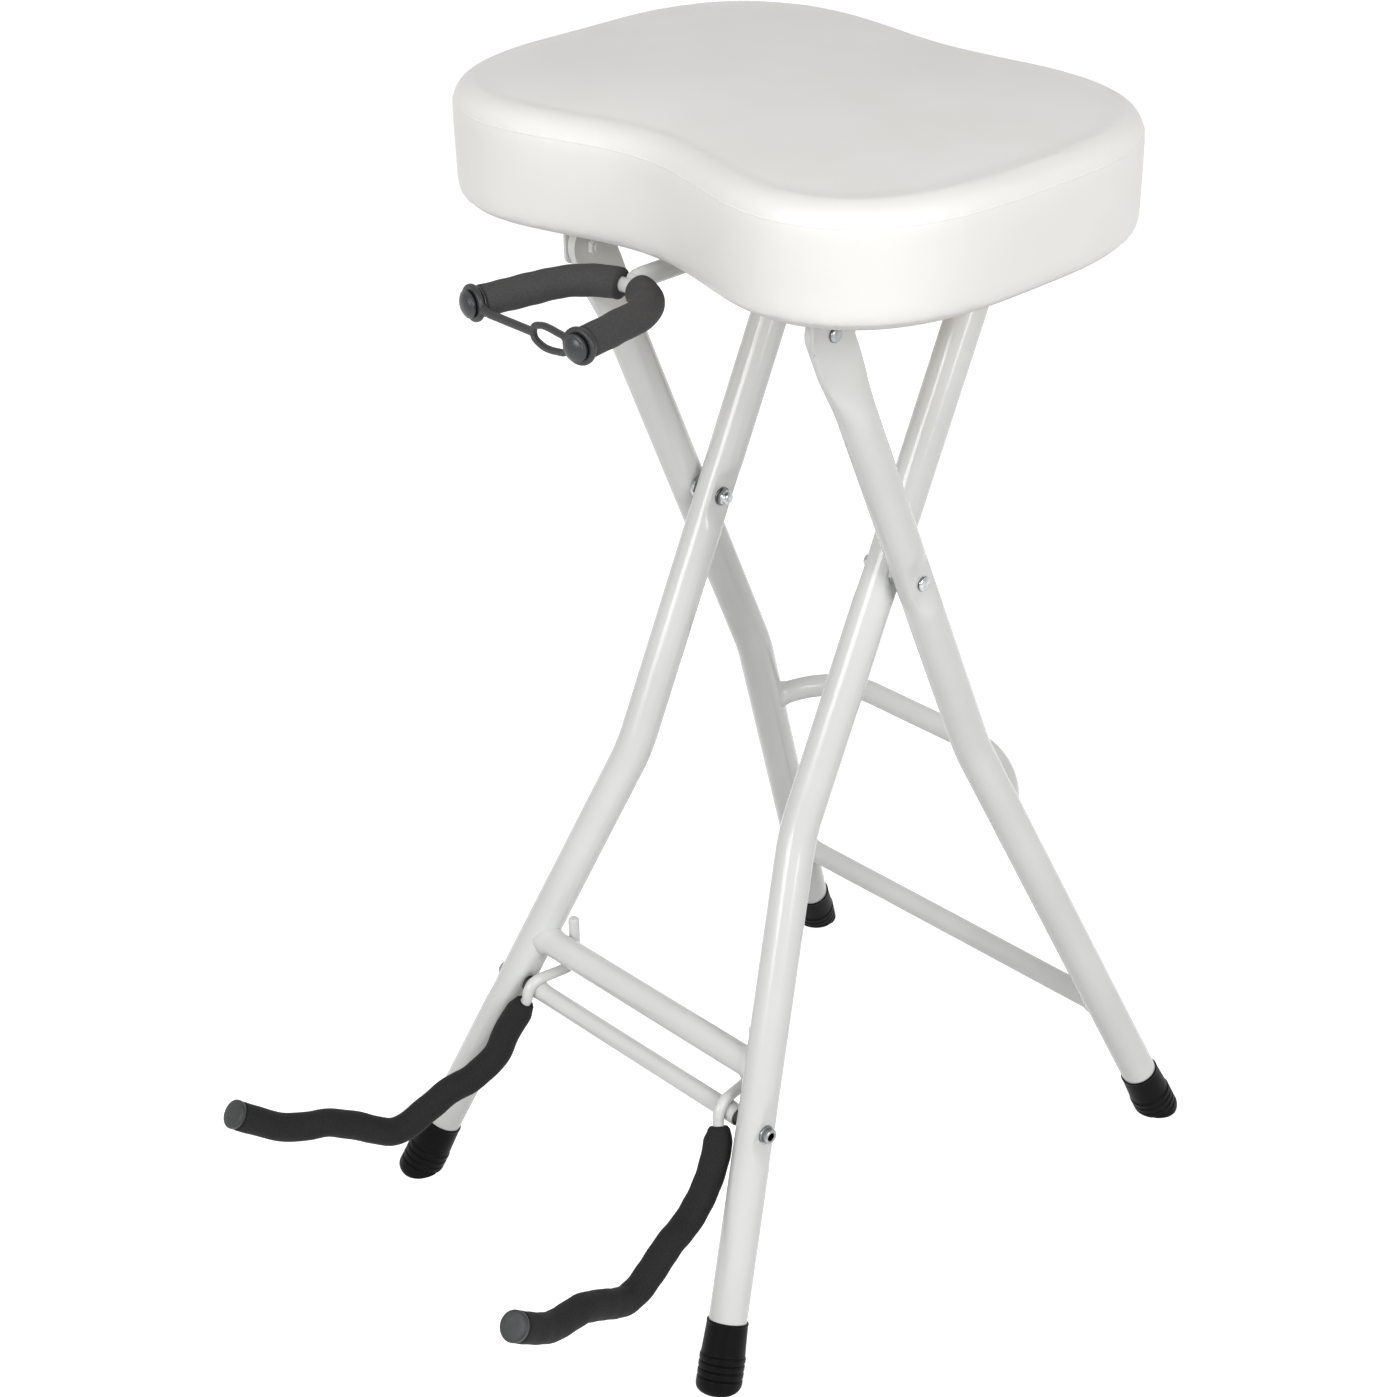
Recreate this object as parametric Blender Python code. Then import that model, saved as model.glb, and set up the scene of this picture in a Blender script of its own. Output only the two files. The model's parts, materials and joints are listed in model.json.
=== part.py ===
"""Folding guitar stool with a neck hanger and a body cradle.

Units are metres.  X runs across the stool, Y from front to back and Z up.  The pieces are worked
out around the pivot that joins the two crossed tube frames, and the whole stool is lowered onto
the floor at the end.
"""

from math import acos, asin, ceil, cos, pi, radians, sin, sqrt, tan

import bmesh
import bpy
import numpy as np
from mathutils import Vector

# Fits shared by all pieces
GAP = 0.0003
OVERRUN = 0.004

# Crossed frames, seen from the side
PIVOT_HEIGHT = 0.475
FRONT_LEG_TILT = radians(25.4)
REAR_LEG_TILT = radians(22.3)
FOOT_RIM_HEIGHT = 0.0357

# Frame tube
TUBE_RADIUS = 0.0125
TUBE_WALL = 0.0012
TUBE_SIDES = 14
KNEE_BEND_RADIUS = 0.120
BEND_STEP = radians(15)

# Front U tube
FRONT_HALF_WIDTH = 0.077
FRONT_KNEE_DROP = 0.180
FRONT_FOOT_HALF_WIDTH = 0.1442
TOP_BEND_RADIUS = 0.050

# Rear legs and their flattened upper ends
REAR_KNEE_DROP = 0.158
REAR_FOOT_HALF_WIDTH = 0.1652
HINGE_RISE = 0.2025
LEG_END_THICKNESS = 0.0065
LEG_END_RADIUS = 0.0168
LEG_FLAT_LENGTH = 0.020
LEG_FLATTENING = 0.048
LEG_TAPER_SHARES = (0.0, 0.2, 0.4, 0.6, 0.8, 1.0)
LEG_END_TURNS = (0, 20, 40, 57, 72, 83)
LEG_TIP_SHARE = 0.9975

# Pivot between the frames
BOLT_RADIUS = 0.003
BOLT_HEAD_RADIUS = 0.0056
BOLT_HEAD_HEIGHT = 0.0032
# Shares of a head's radius and height, from the middle of its top to its edge
BOLT_HEAD_SHARES = ((0.45, 1.0), (0.85, 0.72), (1.0, 0.2))
NUT_RADIUS = 0.0058
NUT_HEIGHT = 0.005
NUT_DOME_HEIGHT = 0.004
NUT_BORE_DEPTH = 0.0065
# Shares of a nut's radius and of its dome's height
NUT_DOME_SHARES = ((0.8, 0.0), (0.68, 0.55), (0.32, 1.0))
PIVOT_PRESS_DEPTH = 0.005
FACING_PRESS_DEPTH = 0.0015
PRESS_HALF_LENGTH = 0.009
PRESS_FADE = 0.007
PIVOT_WASHER_RADIUS = 0.0085
PIVOT_WASHER_THICKNESS = 0.0029

# Cross braces
FOOTREST_RADIUS = 0.0095
FOOTREST_ABOVE_RIM = 0.1563
BRACE_RADIUS = 0.008
LOWER_BRACE_ABOVE_RIM = 0.0668
BOW_DROP = 0.222
BOW_DEPTH = 0.0416
BOW_INSET = 0.0355
BOW_BEND_RADIUS = 0.075
BAR_SIDES = 12
WELD_RISE = 0.0014
WELD_LENGTH = 0.005

# Rubber boots
BOOT_WALL = 0.0008
BOOT_FLARE = 0.0006
BOOT_GRIP = 0.024
BOOT_FLARE_LENGTH = 0.0215
BOOT_RIB_RISE = 0.0006
BOOT_RIB_PITCH = 0.0049
BOOT_RIB_COUNT = 3
BOOT_TOE_LENGTH = 0.006
BOOT_TOE_INSET = 0.0045
BOOT_TOE_SHARE = 0.25
BOOT_SIDES = 12

# Cradle pivot
CRADLE_ABOVE_RIM = 0.1216
CROSS_TUBE_RADIUS = 0.00635
CROSS_TUBE_WALL = 0.0012
PLUG_LENGTH = 0.014
CRADLE_PRESS_DEPTH = 0.004
CRADLE_FACING_DEPTH = 0.001
CRADLE_PRESS_HALF_LENGTH = 0.009
CRADLE_WASHER_RADIUS = 0.0058
CRADLE_WASHER_THICKNESS = 0.0032
CAP_SCREW_HEAD_RADIUS = 0.0045
CAP_SCREW_HEAD_HEIGHT = 0.006
CAP_SCREW_GRIP = 0.010

# Cradle arms
ROD_RADIUS = 0.00375
ROD_SIDES = 8
ARM_END_INSET = 0.0079
STUB_INSET = 0.006
STUB_RISE = 0.0485
STUB_BEND_RADIUS = 0.009
ARM_REACH = 0.2196
ARM_DROP = 0.0717
ARM_SPREAD = 0.0465
ARM_STEP = 0.0122
# Forward, downward and outward shares of the arm's reach, drop and spread
ARM_ROUTE_SHARES = (
    (0.059, 0.117, 0.065), (0.101, 0.336, 0.170), (0.151, 0.577, 0.200), (0.226, 0.727, 0.270),
    (0.328, 0.802, 0.366), (0.404, 0.909, 0.430), (0.469, 0.987, 0.477), (0.520, 0.990, 0.510),
    (0.576, 0.891, 0.580), (0.647, 0.743, 0.656), (0.719, 0.618, 0.720), (0.783, 0.565, 0.783),
    (0.844, 0.508, 0.850), (0.909, 0.378, 0.925), (1.000, 0.146, 1.000),
)
SLEEVE_RADIUS = 0.0095
SLEEVE_NECK_RADIUS = 0.0070
SLEEVE_NECK_LENGTH = 0.010
SLEEVE_START = 0.0052
SLEEVE_SIDES = 10
ROD_TIP_LENGTH = 0.002
TIP_RADIUS = 0.0097
TIP_LENGTH = 0.0046
# Shares of a tip's radius and length
TIP_SHARES = ((1.0, 0.0), (1.0, 0.45), (0.86, 0.82), (0.5, 1.0))
CURVE_SAMPLES = 12

# Seat cushion and board
SEAT_HINGE_DROP = 0.0311
SEAT_WIDTH = 0.4046
SEAT_FRONT_OVERHANG = 0.0511
SEAT_REAR_OVERHANG = 0.0497
WAIST_WIDTH = 0.1058
FRONT_WAIST_SHARE = 0.274
REAR_WAIST_SHARE = 0.123
SEAT_SIDE_POWER = 0.724
SEAT_LOBE_POWER = 0.653
SEAT_POINTS = 44
SEAT_PLAN_SAMPLES = 1441
SEAT_WALL_HEIGHT = 0.0725
SEAT_CROWN = 0.0065
SEAT_TOP_EDGE_RADIUS = 0.0193
SEAT_HEM_RADIUS = 0.0101
SEAT_SIDE_BULGE = 0.0015
CROWN_RING_SHARES = (0.84, 0.58, 0.28)
VINYL_THICKNESS = 0.001
HEM_WIDTH = 0.015
BOARD_THICKNESS = 0.012

# Seat hinge brackets
BRACKET_THICKNESS = 0.002
BRACKET_LENGTH = 0.034
BRACKET_FLANGE = 0.024
BRACKET_BELOW_HINGE = 0.010
BRACKET_CORNER_RADIUS = 0.004
BRACKET_BEND_SHARE = 0.3
BRACKET_ROUND_SHARE = 0.5

# Wood screws into the board
SCREW_RADIUS = 0.002
SCREW_GRIP = 0.009
SCREW_HEAD_RADIUS = 0.0042
SCREW_HEAD_HEIGHT = 0.0022
SCREW_SLOPE_SHARE = 0.7
EAR_THICKNESS = 0.003
EAR_MARGIN = 0.0008

# Saddle that rests on the cross bar of the front U tube
SADDLE_LENGTH = 0.050
SADDLE_CROWN = 0.0031
SADDLE_WRAP = radians(55)
SADDLE_WALL = 0.003
SADDLE_SCREW_OFFSET = 0.016
SADDLE_ARC_POINTS = 11

# Hanger arm and its guides
HANGER_DROP = 0.0129
ARM_TUBE_RADIUS = 0.00635
ARM_TUBE_WALL = 0.0015
HANGER_REACH = 0.0582
HANGER_TRAVEL_STOP = 0.085
NOSE_RADIUS = 0.0048
NOSE_LENGTH = 0.0006
NOSE_TAPER = 0.004
NOSE_RADIUS_SHARE = 0.91
NOSE_TAPER_SHARE = 0.3
ARM_SIDES = 14
ARM_TAIL = 0.006
STOP_PIN_RADIUS = 0.002
STOP_PIN_LENGTH = 0.024
GUIDE_LENGTH = 0.018
FRONT_GUIDE_OFFSET = 0.0168
GUIDE_WALL = 0.0035
GUIDE_BORE_SIDES = 18
GUIDE_ARC_POINTS = 9

# Hanger yoke, its foam and its end caps
YOKE_ROD_RADIUS = 0.0045
YOKE_DROP = 0.0037
YOKE_BEND_RADIUS = 0.038
YOKE_OPENING = radians(10)
YOKE_PRONG_LENGTH = 0.0525
YOKE_FOAM_RADIUS = 0.0096
YOKE_FOAM_HALF_GAP = 0.0072
YOKE_FOAM_SIDES = 10
YOKE_BEND_POINTS = 7
CAP_FLANGE_RADIUS = 0.0096
CAP_FLANGE_THICKNESS = 0.0015
CAP_GROOVE_RADIUS = 0.0068
CAP_HEAD_RADIUS = 0.0084
CAP_HEAD_THICKNESS = 0.0045
CAP_BORE_DEPTH = 0.0075
# Shares of a cap's head, of its radius and its thickness
CAP_HEAD_SHARES = ((1.0, 0.0), (1.0, 0.45), (0.72, 0.85), (0.3, 1.0))
CAP_SIDES = 12

# Rubber strap that closes the yoke
STRAP_THICKNESS = 0.0046
STRAP_RING_RADIUS = 0.011
STRAP_BAND_HEIGHT = 0.0052
LOOP_LENGTH = 0.028
LOOP_HEIGHT = 0.0150
LOOP_SHOULDER = 0.006
SLOT_LENGTH = 0.0185
SLOT_HEIGHT = 0.0088
SLOT_POINT = 0.003
SLOT_POINT_SHARE = 1.0 / 3.0
STRAP_HOLE_SIDES = 14
LOOP_RING_POINTS = 13
PLAIN_RING_POINTS = 15

FASTENER_SIDES = 8
NUT_SIDES = 12
SHARP_EDGE = radians(35)

# Sizes and places worked out from the values above, measured from the pivot
FRONT_UP = np.array((0.0, sin(FRONT_LEG_TILT), cos(FRONT_LEG_TILT)))
REAR_UP = np.array((0.0, -sin(REAR_LEG_TILT), cos(REAR_LEG_TILT)))
FRONT_NORMAL = np.array((0.0, cos(FRONT_LEG_TILT), -sin(FRONT_LEG_TILT)))
REAR_NORMAL = np.array((0.0, cos(REAR_LEG_TILT), sin(REAR_LEG_TILT)))
ACROSS = np.array((1.0, 0.0, 0.0))
FRONT_RIM_DROP = (PIVOT_HEIGHT - FOOT_RIM_HEIGHT) / cos(FRONT_LEG_TILT)
REAR_RIM_DROP = (PIVOT_HEIGHT - FOOT_RIM_HEIGHT) / cos(REAR_LEG_TILT)
FACING_CLEARANCE = PIVOT_WASHER_THICKNESS + GAP + GAP - FACING_PRESS_DEPTH - FACING_PRESS_DEPTH
REAR_HALF_WIDTH = FRONT_HALF_WIDTH + TUBE_RADIUS + TUBE_RADIUS + FACING_CLEARANCE
FOOTREST_DROP = FRONT_RIM_DROP - FOOTREST_ABOVE_RIM
CRADLE_DROP = FRONT_RIM_DROP - CRADLE_ABOVE_RIM
LOWER_BRACE_DROP = REAR_RIM_DROP - LOWER_BRACE_ABOVE_RIM
FRONT_SPLAY = (FRONT_FOOT_HALF_WIDTH - FRONT_HALF_WIDTH) / (FRONT_RIM_DROP - FRONT_KNEE_DROP)
REAR_SPLAY = (REAR_FOOT_HALF_WIDTH - REAR_HALF_WIDTH) / (REAR_RIM_DROP - REAR_KNEE_DROP)
HINGE = HINGE_RISE * REAR_UP
SEAT_UNDERSIDE = HINGE[2] + SEAT_HINGE_DROP
BOARD_UNDERSIDE = SEAT_UNDERSIDE + VINYL_THICKNESS + GAP
FITTING_TOP = BOARD_UNDERSIDE - GAP
CROSS_BAR_HEIGHT = FITTING_TOP - SADDLE_CROWN - GAP - TUBE_RADIUS
CROSS_BAR_RISE = CROSS_BAR_HEIGHT / cos(FRONT_LEG_TILT)
CROSS_BAR = CROSS_BAR_RISE * FRONT_UP
CRADLE_AXIS = -CRADLE_DROP * FRONT_UP
HANGER_HEIGHT = BOARD_UNDERSIDE - HANGER_DROP
YOKE_HEIGHT = HANGER_HEIGHT - YOKE_DROP
SEAT_SPAN = SEAT_FRONT_OVERHANG + CROSS_BAR[1] - HINGE[1] + SEAT_REAR_OVERHANG
SEAT_LOBE_DEPTH = 2.0 * SEAT_SPAN / (2.0 - FRONT_WAIST_SHARE - REAR_WAIST_SHARE)
SEAT_FRONT_HALF = SEAT_LOBE_DEPTH / 2.0 * (1.0 - FRONT_WAIST_SHARE)
SEAT_MIDDLE_Y = HINGE[1] - SEAT_FRONT_OVERHANG + SEAT_FRONT_HALF
YOKE_BASE_Y = HINGE[1] - HANGER_REACH
REAR_GUIDE_BACK_Y = HINGE[1] + HANGER_TRAVEL_STOP
STOP_PIN_Y = REAR_GUIDE_BACK_Y + GAP + STOP_PIN_RADIUS
ARM_BACK_Y = STOP_PIN_Y + STOP_PIN_RADIUS + ARM_TAIL
EAR_WIDTH = 2.0 * (SCREW_HEAD_RADIUS + EAR_MARGIN)

SIDES = (("left", -1), ("right", 1))


def finish(name, colour, roughness, metallic=0.0):
    """A plain coat: colour in linear light, how rough it is and how metallic."""
    coat = bpy.data.materials.new(name)
    coat.use_nodes = True
    shader = coat.node_tree.nodes["Principled BSDF"]
    shader.inputs["Base Color"].default_value = (*colour, 1.0)
    shader.inputs["Roughness"].default_value = roughness
    shader.inputs["Metallic"].default_value = metallic
    coat.diffuse_color = (*colour, 1.0)
    return coat


def clear_scene():
    """Remove every object, so that the stool is alone in the file."""
    for thing in list(bpy.data.objects):
        bpy.data.objects.remove(thing, do_unlink=True)


def joint_axis(name, position, parent=None):
    """An empty on a joint's axis; the pieces of the moving body hang from it."""
    empty = bpy.data.objects.new(name, None)
    bpy.context.collection.objects.link(empty)
    empty["reach"] = tuple(float(value) for value in position)
    empty.parent = parent
    start = parent["reach"] if parent else (0.0, 0.0, 0.0)
    empty.location = Vector(position) - Vector(start)
    return empty


def add_piece(name, mesh_data, coat, body, at=(0.0, 0.0, 0.0), direction=None):
    """One named piece of a body: its mesh, its coat, its place and the way its Z axis points."""
    piece = bpy.data.objects.new(name, mesh_data)
    bpy.context.collection.objects.link(piece)
    mesh_data.materials.append(coat)
    piece.parent = body
    piece.location = Vector(at) - Vector(body["reach"])
    if direction is not None:
        piece.rotation_euler = Vector(direction).to_track_quat("Z", "Y").to_euler()
    return piece


def skin(name, rings, loop=False):
    """A closed mesh over rings of points: ends capped, or the last ring joined to the first."""
    mesh = bmesh.new()
    hoops = [[mesh.verts.new(point) for point in ring] for ring in rings]
    pairs = list(zip(hoops, hoops[1:]))
    if loop:
        pairs.append((hoops[-1], hoops[0]))
    for first, second in pairs:
        count = len(first)
        for index in range(count):
            after = (index + 1) % count
            mesh.faces.new((first[index], first[after], second[after], second[index]))
    if not loop:
        mesh.faces.new(hoops[0])
        mesh.faces.new(hoops[-1])
    bmesh.ops.recalc_face_normals(mesh, faces=mesh.faces[:])
    data = bpy.data.meshes.new(name)
    mesh.to_mesh(data)
    mesh.free()
    data.shade_smooth()
    data.set_sharp_from_angle(angle=SHARP_EDGE)
    return data


def prism(name, outline, start, end, axis):
    """An outline of two coordinates, extruded along the X, Y or Z axis from start to end."""
    order = {"X": (2, 0, 1), "Y": (0, 2, 1), "Z": (0, 1, 2)}[axis]
    rings = []
    for level in (start, end):
        flat = np.column_stack((np.asarray(outline), np.full(len(outline), level)))
        rings.append(flat[:, order])
    return skin(name, rings)


def turned(name, profile, sides=FASTENER_SIDES, loop=False):
    """A profile of (radius, height) or (radius, height, True for hexagonal) turned about Z."""
    angles = np.linspace(0.0, 2.0 * pi, sides, endpoint=False)
    corner = pi / 6.0
    from_corner = np.abs((angles + corner) % (2.0 * corner) - corner)
    hexagon = cos(corner) / np.cos(corner - from_corner)
    rings = []
    for radius, height, *hexagonal in profile:
        reach = radius * (hexagon if hexagonal else 1.0)
        level = np.full(sides, height)
        rings.append(np.column_stack((reach * np.cos(angles), reach * np.sin(angles), level)))
    return skin(name, rings, loop)


def drill(name, start, end, radius, sides=FASTENER_SIDES):
    """A hidden round cutter from one point to another."""
    start, end = Vector(start), Vector(end)
    mesh_data = turned(name, ((radius, 0.0), (radius, (end - start).length)), sides)
    return hide_cutter(name, mesh_data, start, end - start)


def hide_cutter(name, mesh_data, at=(0.0, 0.0, 0.0), direction=None):
    """A cutter: it shapes other pieces and is not itself part of the stool."""
    cutter = bpy.data.objects.new(name, mesh_data)
    bpy.context.collection.objects.link(cutter)
    cutter.parent = STOOL
    cutter.location = at
    if direction is not None:
        cutter.rotation_euler = Vector(direction).to_track_quat("Z", "Y").to_euler()
    cutter.hide_render = True
    cutter.display_type = "WIRE"
    return cutter


def cut(piece, cutter):
    """Take the cutter's volume out of the piece."""
    step = piece.modifiers.new("cut " + cutter.name, "BOOLEAN")
    step.operation = "DIFFERENCE"
    step.object = cutter


def fillet_path(corners, radii):
    """Straight runs between corners, each inner corner rounded by an arc of its own radius."""
    corners = [np.asarray(corner, dtype=float) for corner in corners]
    path = [corners[0]]
    for before, corner, after, radius in zip(corners, corners[1:], corners[2:], radii):
        back = (before - corner) / np.linalg.norm(before - corner)
        ahead = (after - corner) / np.linalg.norm(after - corner)
        turn = pi - acos(float(np.clip(back @ ahead, -1.0, 1.0)))
        run = radius * tan(turn / 2.0)
        middle = back + ahead
        centre = corner + middle / np.linalg.norm(middle) * radius / cos(turn / 2.0)
        first = corner + back * run - centre
        last = corner + ahead * run - centre
        steps = max(2, ceil(turn / BEND_STEP))
        for share in np.linspace(0.0, 1.0, steps + 1):
            blend = sin((1.0 - share) * turn) * first + sin(share * turn) * last
            path.append(centre + blend / sin(turn))
    path.append(corners[-1])
    kept = [path[0]] + [b for a, b in zip(path, path[1:]) if np.linalg.norm(b - a) > GAP]
    return np.array(kept)


def add_levels(path, levels, column=1):
    """The path with a point added wherever it crosses one of the levels of a coordinate."""
    points = [path[0]]
    for first, second in zip(path, path[1:]):
        low, high = first[column], second[column]
        found = [level for level in levels if min(low, high) < level < max(low, high)]
        for level in sorted(found, reverse=bool(low > high)):
            points.append(first + (second - first) * (level - low) / (high - low))
        points.append(second)
    return np.array(points)


def smooth_curve(points, start_direction, step):
    """Points about one step apart on a smooth curve that passes through the given points."""
    points = np.asarray(points, dtype=float)
    spans = np.linalg.norm(np.diff(points, axis=0), axis=1)
    slopes = np.diff(points, axis=0) / spans[:, None]
    inner = slopes[:-1] * spans[1:, None] + slopes[1:] * spans[:-1, None]
    inner = inner / (spans[:-1] + spans[1:])[:, None]
    tangents = np.vstack((start_direction, inner, slopes[-1:]))
    fine = []
    for index, span in enumerate(spans):
        share = np.linspace(0.0, 1.0, CURVE_SAMPLES, endpoint=False)[:, None]
        p, q = points[index], points[index + 1]
        u, v = tangents[index] * span, tangents[index + 1] * span
        hermite = (2.0 * share**3 - 3.0 * share**2 + 1.0) * p + (share**3 - 2.0 * share**2 + share) * u
        hermite = hermite + (3.0 * share**2 - 2.0 * share**3) * q + (share**3 - share**2) * v
        fine.append(hermite)
    fine = np.vstack((*fine, points[-1:]))
    reach = np.concatenate(([0.0], np.cumsum(np.linalg.norm(np.diff(fine, axis=0), axis=1))))
    places = np.linspace(0.0, reach[-1], ceil(reach[-1] / step) + 1)
    return np.column_stack([np.interp(places, reach, fine[:, k]) for k in range(3)])


def path_length(path):
    """Distance along the path from its start to each of its points."""
    return np.concatenate(([0.0], np.cumsum(np.linalg.norm(np.diff(path, axis=0), axis=1))))


def between(path, start, end):
    """The stretch of a path between two distances from its start."""
    reach = path_length(path)
    inside = reach[(reach > start + GAP) & (reach < end - GAP)]
    places = np.concatenate(([start], inside, [end]))
    return np.column_stack([np.interp(places, reach, path[:, k]) for k in range(3)])


def path_frames(path, reference):
    """For each point of a path: the way it runs, and two directions square to it."""
    runs = np.diff(path, axis=0)
    runs = runs / np.linalg.norm(runs, axis=1)[:, None]
    before = np.vstack((runs[:1], runs))
    after = np.vstack((runs, runs[-1:]))
    along = before + after
    along = along / np.linalg.norm(along, axis=1)[:, None]
    lean = (along @ reference)[:, None]
    normal = reference - lean * along
    normal = normal / np.linalg.norm(normal, axis=1)[:, None]
    side = np.cross(along, normal)
    mitre = 1.0 / np.sum(along * after, axis=1)
    return side * mitre[:, None], normal


def tube_rings(path, reference, radius, sides, widen=1.0):
    """Round rings along a path; the radius and the widening may change from point to point."""
    side, normal = path_frames(path, np.asarray(reference, dtype=float))
    radius = np.broadcast_to(radius, (len(path),))
    widen = np.broadcast_to(widen, (len(path),))
    angles = np.linspace(0.0, 2.0 * pi, sides, endpoint=False) + pi / sides
    across = radius[:, None] * np.cos(angles)
    above = (radius * widen)[:, None] * np.sin(angles)
    return path[:, None] + across[..., None] * side[:, None] + above[..., None] * normal[:, None]


def press(rings, along, place, half_length, fade, plane, outwards, depth=0.0):
    """Press rings of the right-hand tube against a plane square to X, fading out along it.

    The plane stops material that lies further out, or further in where outwards is False.
    The tube's bore is pressed by the same plane, less its depth below the surface.
    """
    hold = np.clip((half_length + fade - np.abs(along - place)) / fade, 0.0, 1.0)
    hold = (hold * hold * (3.0 - 2.0 * hold))[:, None]
    x = rings[..., 0]
    if outwards:
        flat = np.minimum(x, plane - depth)
    else:
        flat = np.maximum(x, plane + depth)
    pressed = rings.copy()
    pressed[..., 0] = x + hold * (flat - x)
    return pressed


def mirrored(rings, sign):
    """Rings of the right-hand piece, or their mirror image for the left one."""
    return np.asarray(rings) * np.array((sign, 1.0, 1.0))


def leg_point(half_width, knee_drop, splay, up, drop):
    """Point on the centre line of a right-hand leg, a distance below the pivot."""
    return np.array((half_width + splay * max(0.0, drop - knee_drop), 0.0, 0.0)) - drop * up


def front_leg_point(drop):
    """Point on the right front leg's centre line, a distance below the pivot."""
    return leg_point(FRONT_HALF_WIDTH, FRONT_KNEE_DROP, FRONT_SPLAY, FRONT_UP, drop)


def rear_leg_point(drop):
    """Point on the right rear leg's centre line, a distance below the pivot."""
    return leg_point(REAR_HALF_WIDTH, REAR_KNEE_DROP, REAR_SPLAY, REAR_UP, drop)


def press_levels(place, half_length, fade):
    """Where rings are needed to shape one pressed flat."""
    return (place - half_length - fade, place - half_length, place + half_length,
            place + half_length + fade)


def front_tube_half(radius, depth):
    """Rings of the right half of the U tube, from its foot to the middle of the cross bar."""
    foot_drop = FRONT_RIM_DROP + BOOT_GRIP / sqrt(1.0 + FRONT_SPLAY**2)
    corners = ((front_leg_point(foot_drop)[0], -foot_drop), (FRONT_HALF_WIDTH, -FRONT_KNEE_DROP),
               (FRONT_HALF_WIDTH, CROSS_BAR_RISE), (0.0, CROSS_BAR_RISE))
    flat = fillet_path(corners, (KNEE_BEND_RADIUS, TOP_BEND_RADIUS))
    levels = press_levels(0.0, PRESS_HALF_LENGTH, PRESS_FADE)
    levels += press_levels(-CRADLE_DROP, CRADLE_PRESS_HALF_LENGTH, PRESS_FADE)
    flat = add_levels(flat, levels)
    path = flat[:, :1] * ACROSS + flat[:, 1:] * FRONT_UP
    rings = tube_rings(path, FRONT_NORMAL, radius, TUBE_SIDES)
    along = path @ FRONT_UP
    for plane, outwards in ((front_flat(True), True), (front_flat(False), False)):
        rings = press(rings, along, 0.0, PRESS_HALF_LENGTH, PRESS_FADE, plane, outwards, depth)
    for plane, outwards in ((cradle_flat(True), True), (cradle_flat(False), False)):
        rings = press(rings, along, -CRADLE_DROP, CRADLE_PRESS_HALF_LENGTH, PRESS_FADE, plane,
                      outwards, depth)
    return rings


def front_flat(outwards):
    """X of the flats pressed into the right front leg at the frame's pivot."""
    if outwards:
        return FRONT_HALF_WIDTH + TUBE_RADIUS - FACING_PRESS_DEPTH
    return FRONT_HALF_WIDTH - TUBE_RADIUS + PIVOT_PRESS_DEPTH


def rear_flat(outwards):
    """X of the flats pressed into the right rear leg at the frame's pivot."""
    if outwards:
        return REAR_HALF_WIDTH + TUBE_RADIUS - PIVOT_PRESS_DEPTH
    return REAR_HALF_WIDTH - TUBE_RADIUS + FACING_PRESS_DEPTH


def cradle_flat(outwards):
    """X of the flats pressed into the right front leg at the cradle's pivot."""
    middle = front_leg_point(CRADLE_DROP)[0]
    surface = TUBE_RADIUS * sqrt(1.0 + FRONT_SPLAY**2)
    if outwards:
        return middle + surface - CRADLE_PRESS_DEPTH
    return middle - surface + CRADLE_FACING_DEPTH


def build_front_frame(body):
    """U tube, footrest bar and boots."""
    outer = front_tube_half(TUBE_RADIUS, 0.0)
    inner = front_tube_half(TUBE_RADIUS - TUBE_WALL, TUBE_WALL)
    whole_outer = list(outer) + [mirrored(ring, -1) for ring in outer[-2::-1]]
    whole_inner = list(inner) + [mirrored(ring, -1) for ring in inner[-2::-1]]
    mesh_data = skin("front_u_tube", whole_outer + whole_inner[::-1], loop=True)
    tube = add_piece("front_u_tube", mesh_data, ENAMEL, body)
    cut(tube, PIVOT_DRILL)
    cut(tube, CRADLE_DRILL)
    centre = -FOOTREST_DROP * FRONT_UP
    half = front_leg_point(FOOTREST_DROP)[0]
    bar = straight_bar("footrest_bar", centre, half, FOOTREST_RADIUS, body)
    for name, sign in SIDES:
        seat_on_leg(bar, "footrest_cope_" + name, front_leg_point(FOOTREST_DROP),
                    front_leg_direction(), sign)
        boot("front_foot_" + name, front_leg_point(FRONT_RIM_DROP), front_leg_direction(), sign, body)


def front_leg_direction():
    """The way the splayed part of the right front leg points, downwards."""
    way = front_leg_point(FRONT_RIM_DROP) - front_leg_point(FRONT_KNEE_DROP)
    return way / np.linalg.norm(way)


def rear_leg_direction():
    """The way the splayed part of the right rear leg points, downwards."""
    way = rear_leg_point(REAR_RIM_DROP) - rear_leg_point(REAR_KNEE_DROP)
    return way / np.linalg.norm(way)


def straight_bar(name, centre, half, radius, body):
    """A round bar along X between the centre lines of two legs, swollen at its welds."""
    neck = half - TUBE_RADIUS - WELD_LENGTH
    places = (half, half - TUBE_RADIUS, neck, -neck, TUBE_RADIUS - half, -half)
    swell = radius + WELD_RISE
    radii = (swell, swell, radius, radius, swell, swell)
    path = np.array([centre + place * ACROSS for place in places])
    rings = tube_rings(path, (0.0, 0.0, 1.0), np.array(radii), BAR_SIDES)
    return add_piece(name, skin(name, rings), ENAMEL, body)


def seat_on_leg(bar, name, point, direction, sign):
    """Cope the end of a bar round the leg that it is welded to."""
    half = 2.0 * (FOOTREST_RADIUS + TUBE_RADIUS)
    start = mirrored(point - half * direction, sign)
    end = mirrored(point + half * direction, sign)
    facets = 2 * TUBE_SIDES
    cut(bar, drill(name, start, end, (TUBE_RADIUS + GAP) / cos(pi / facets), facets))


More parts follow.
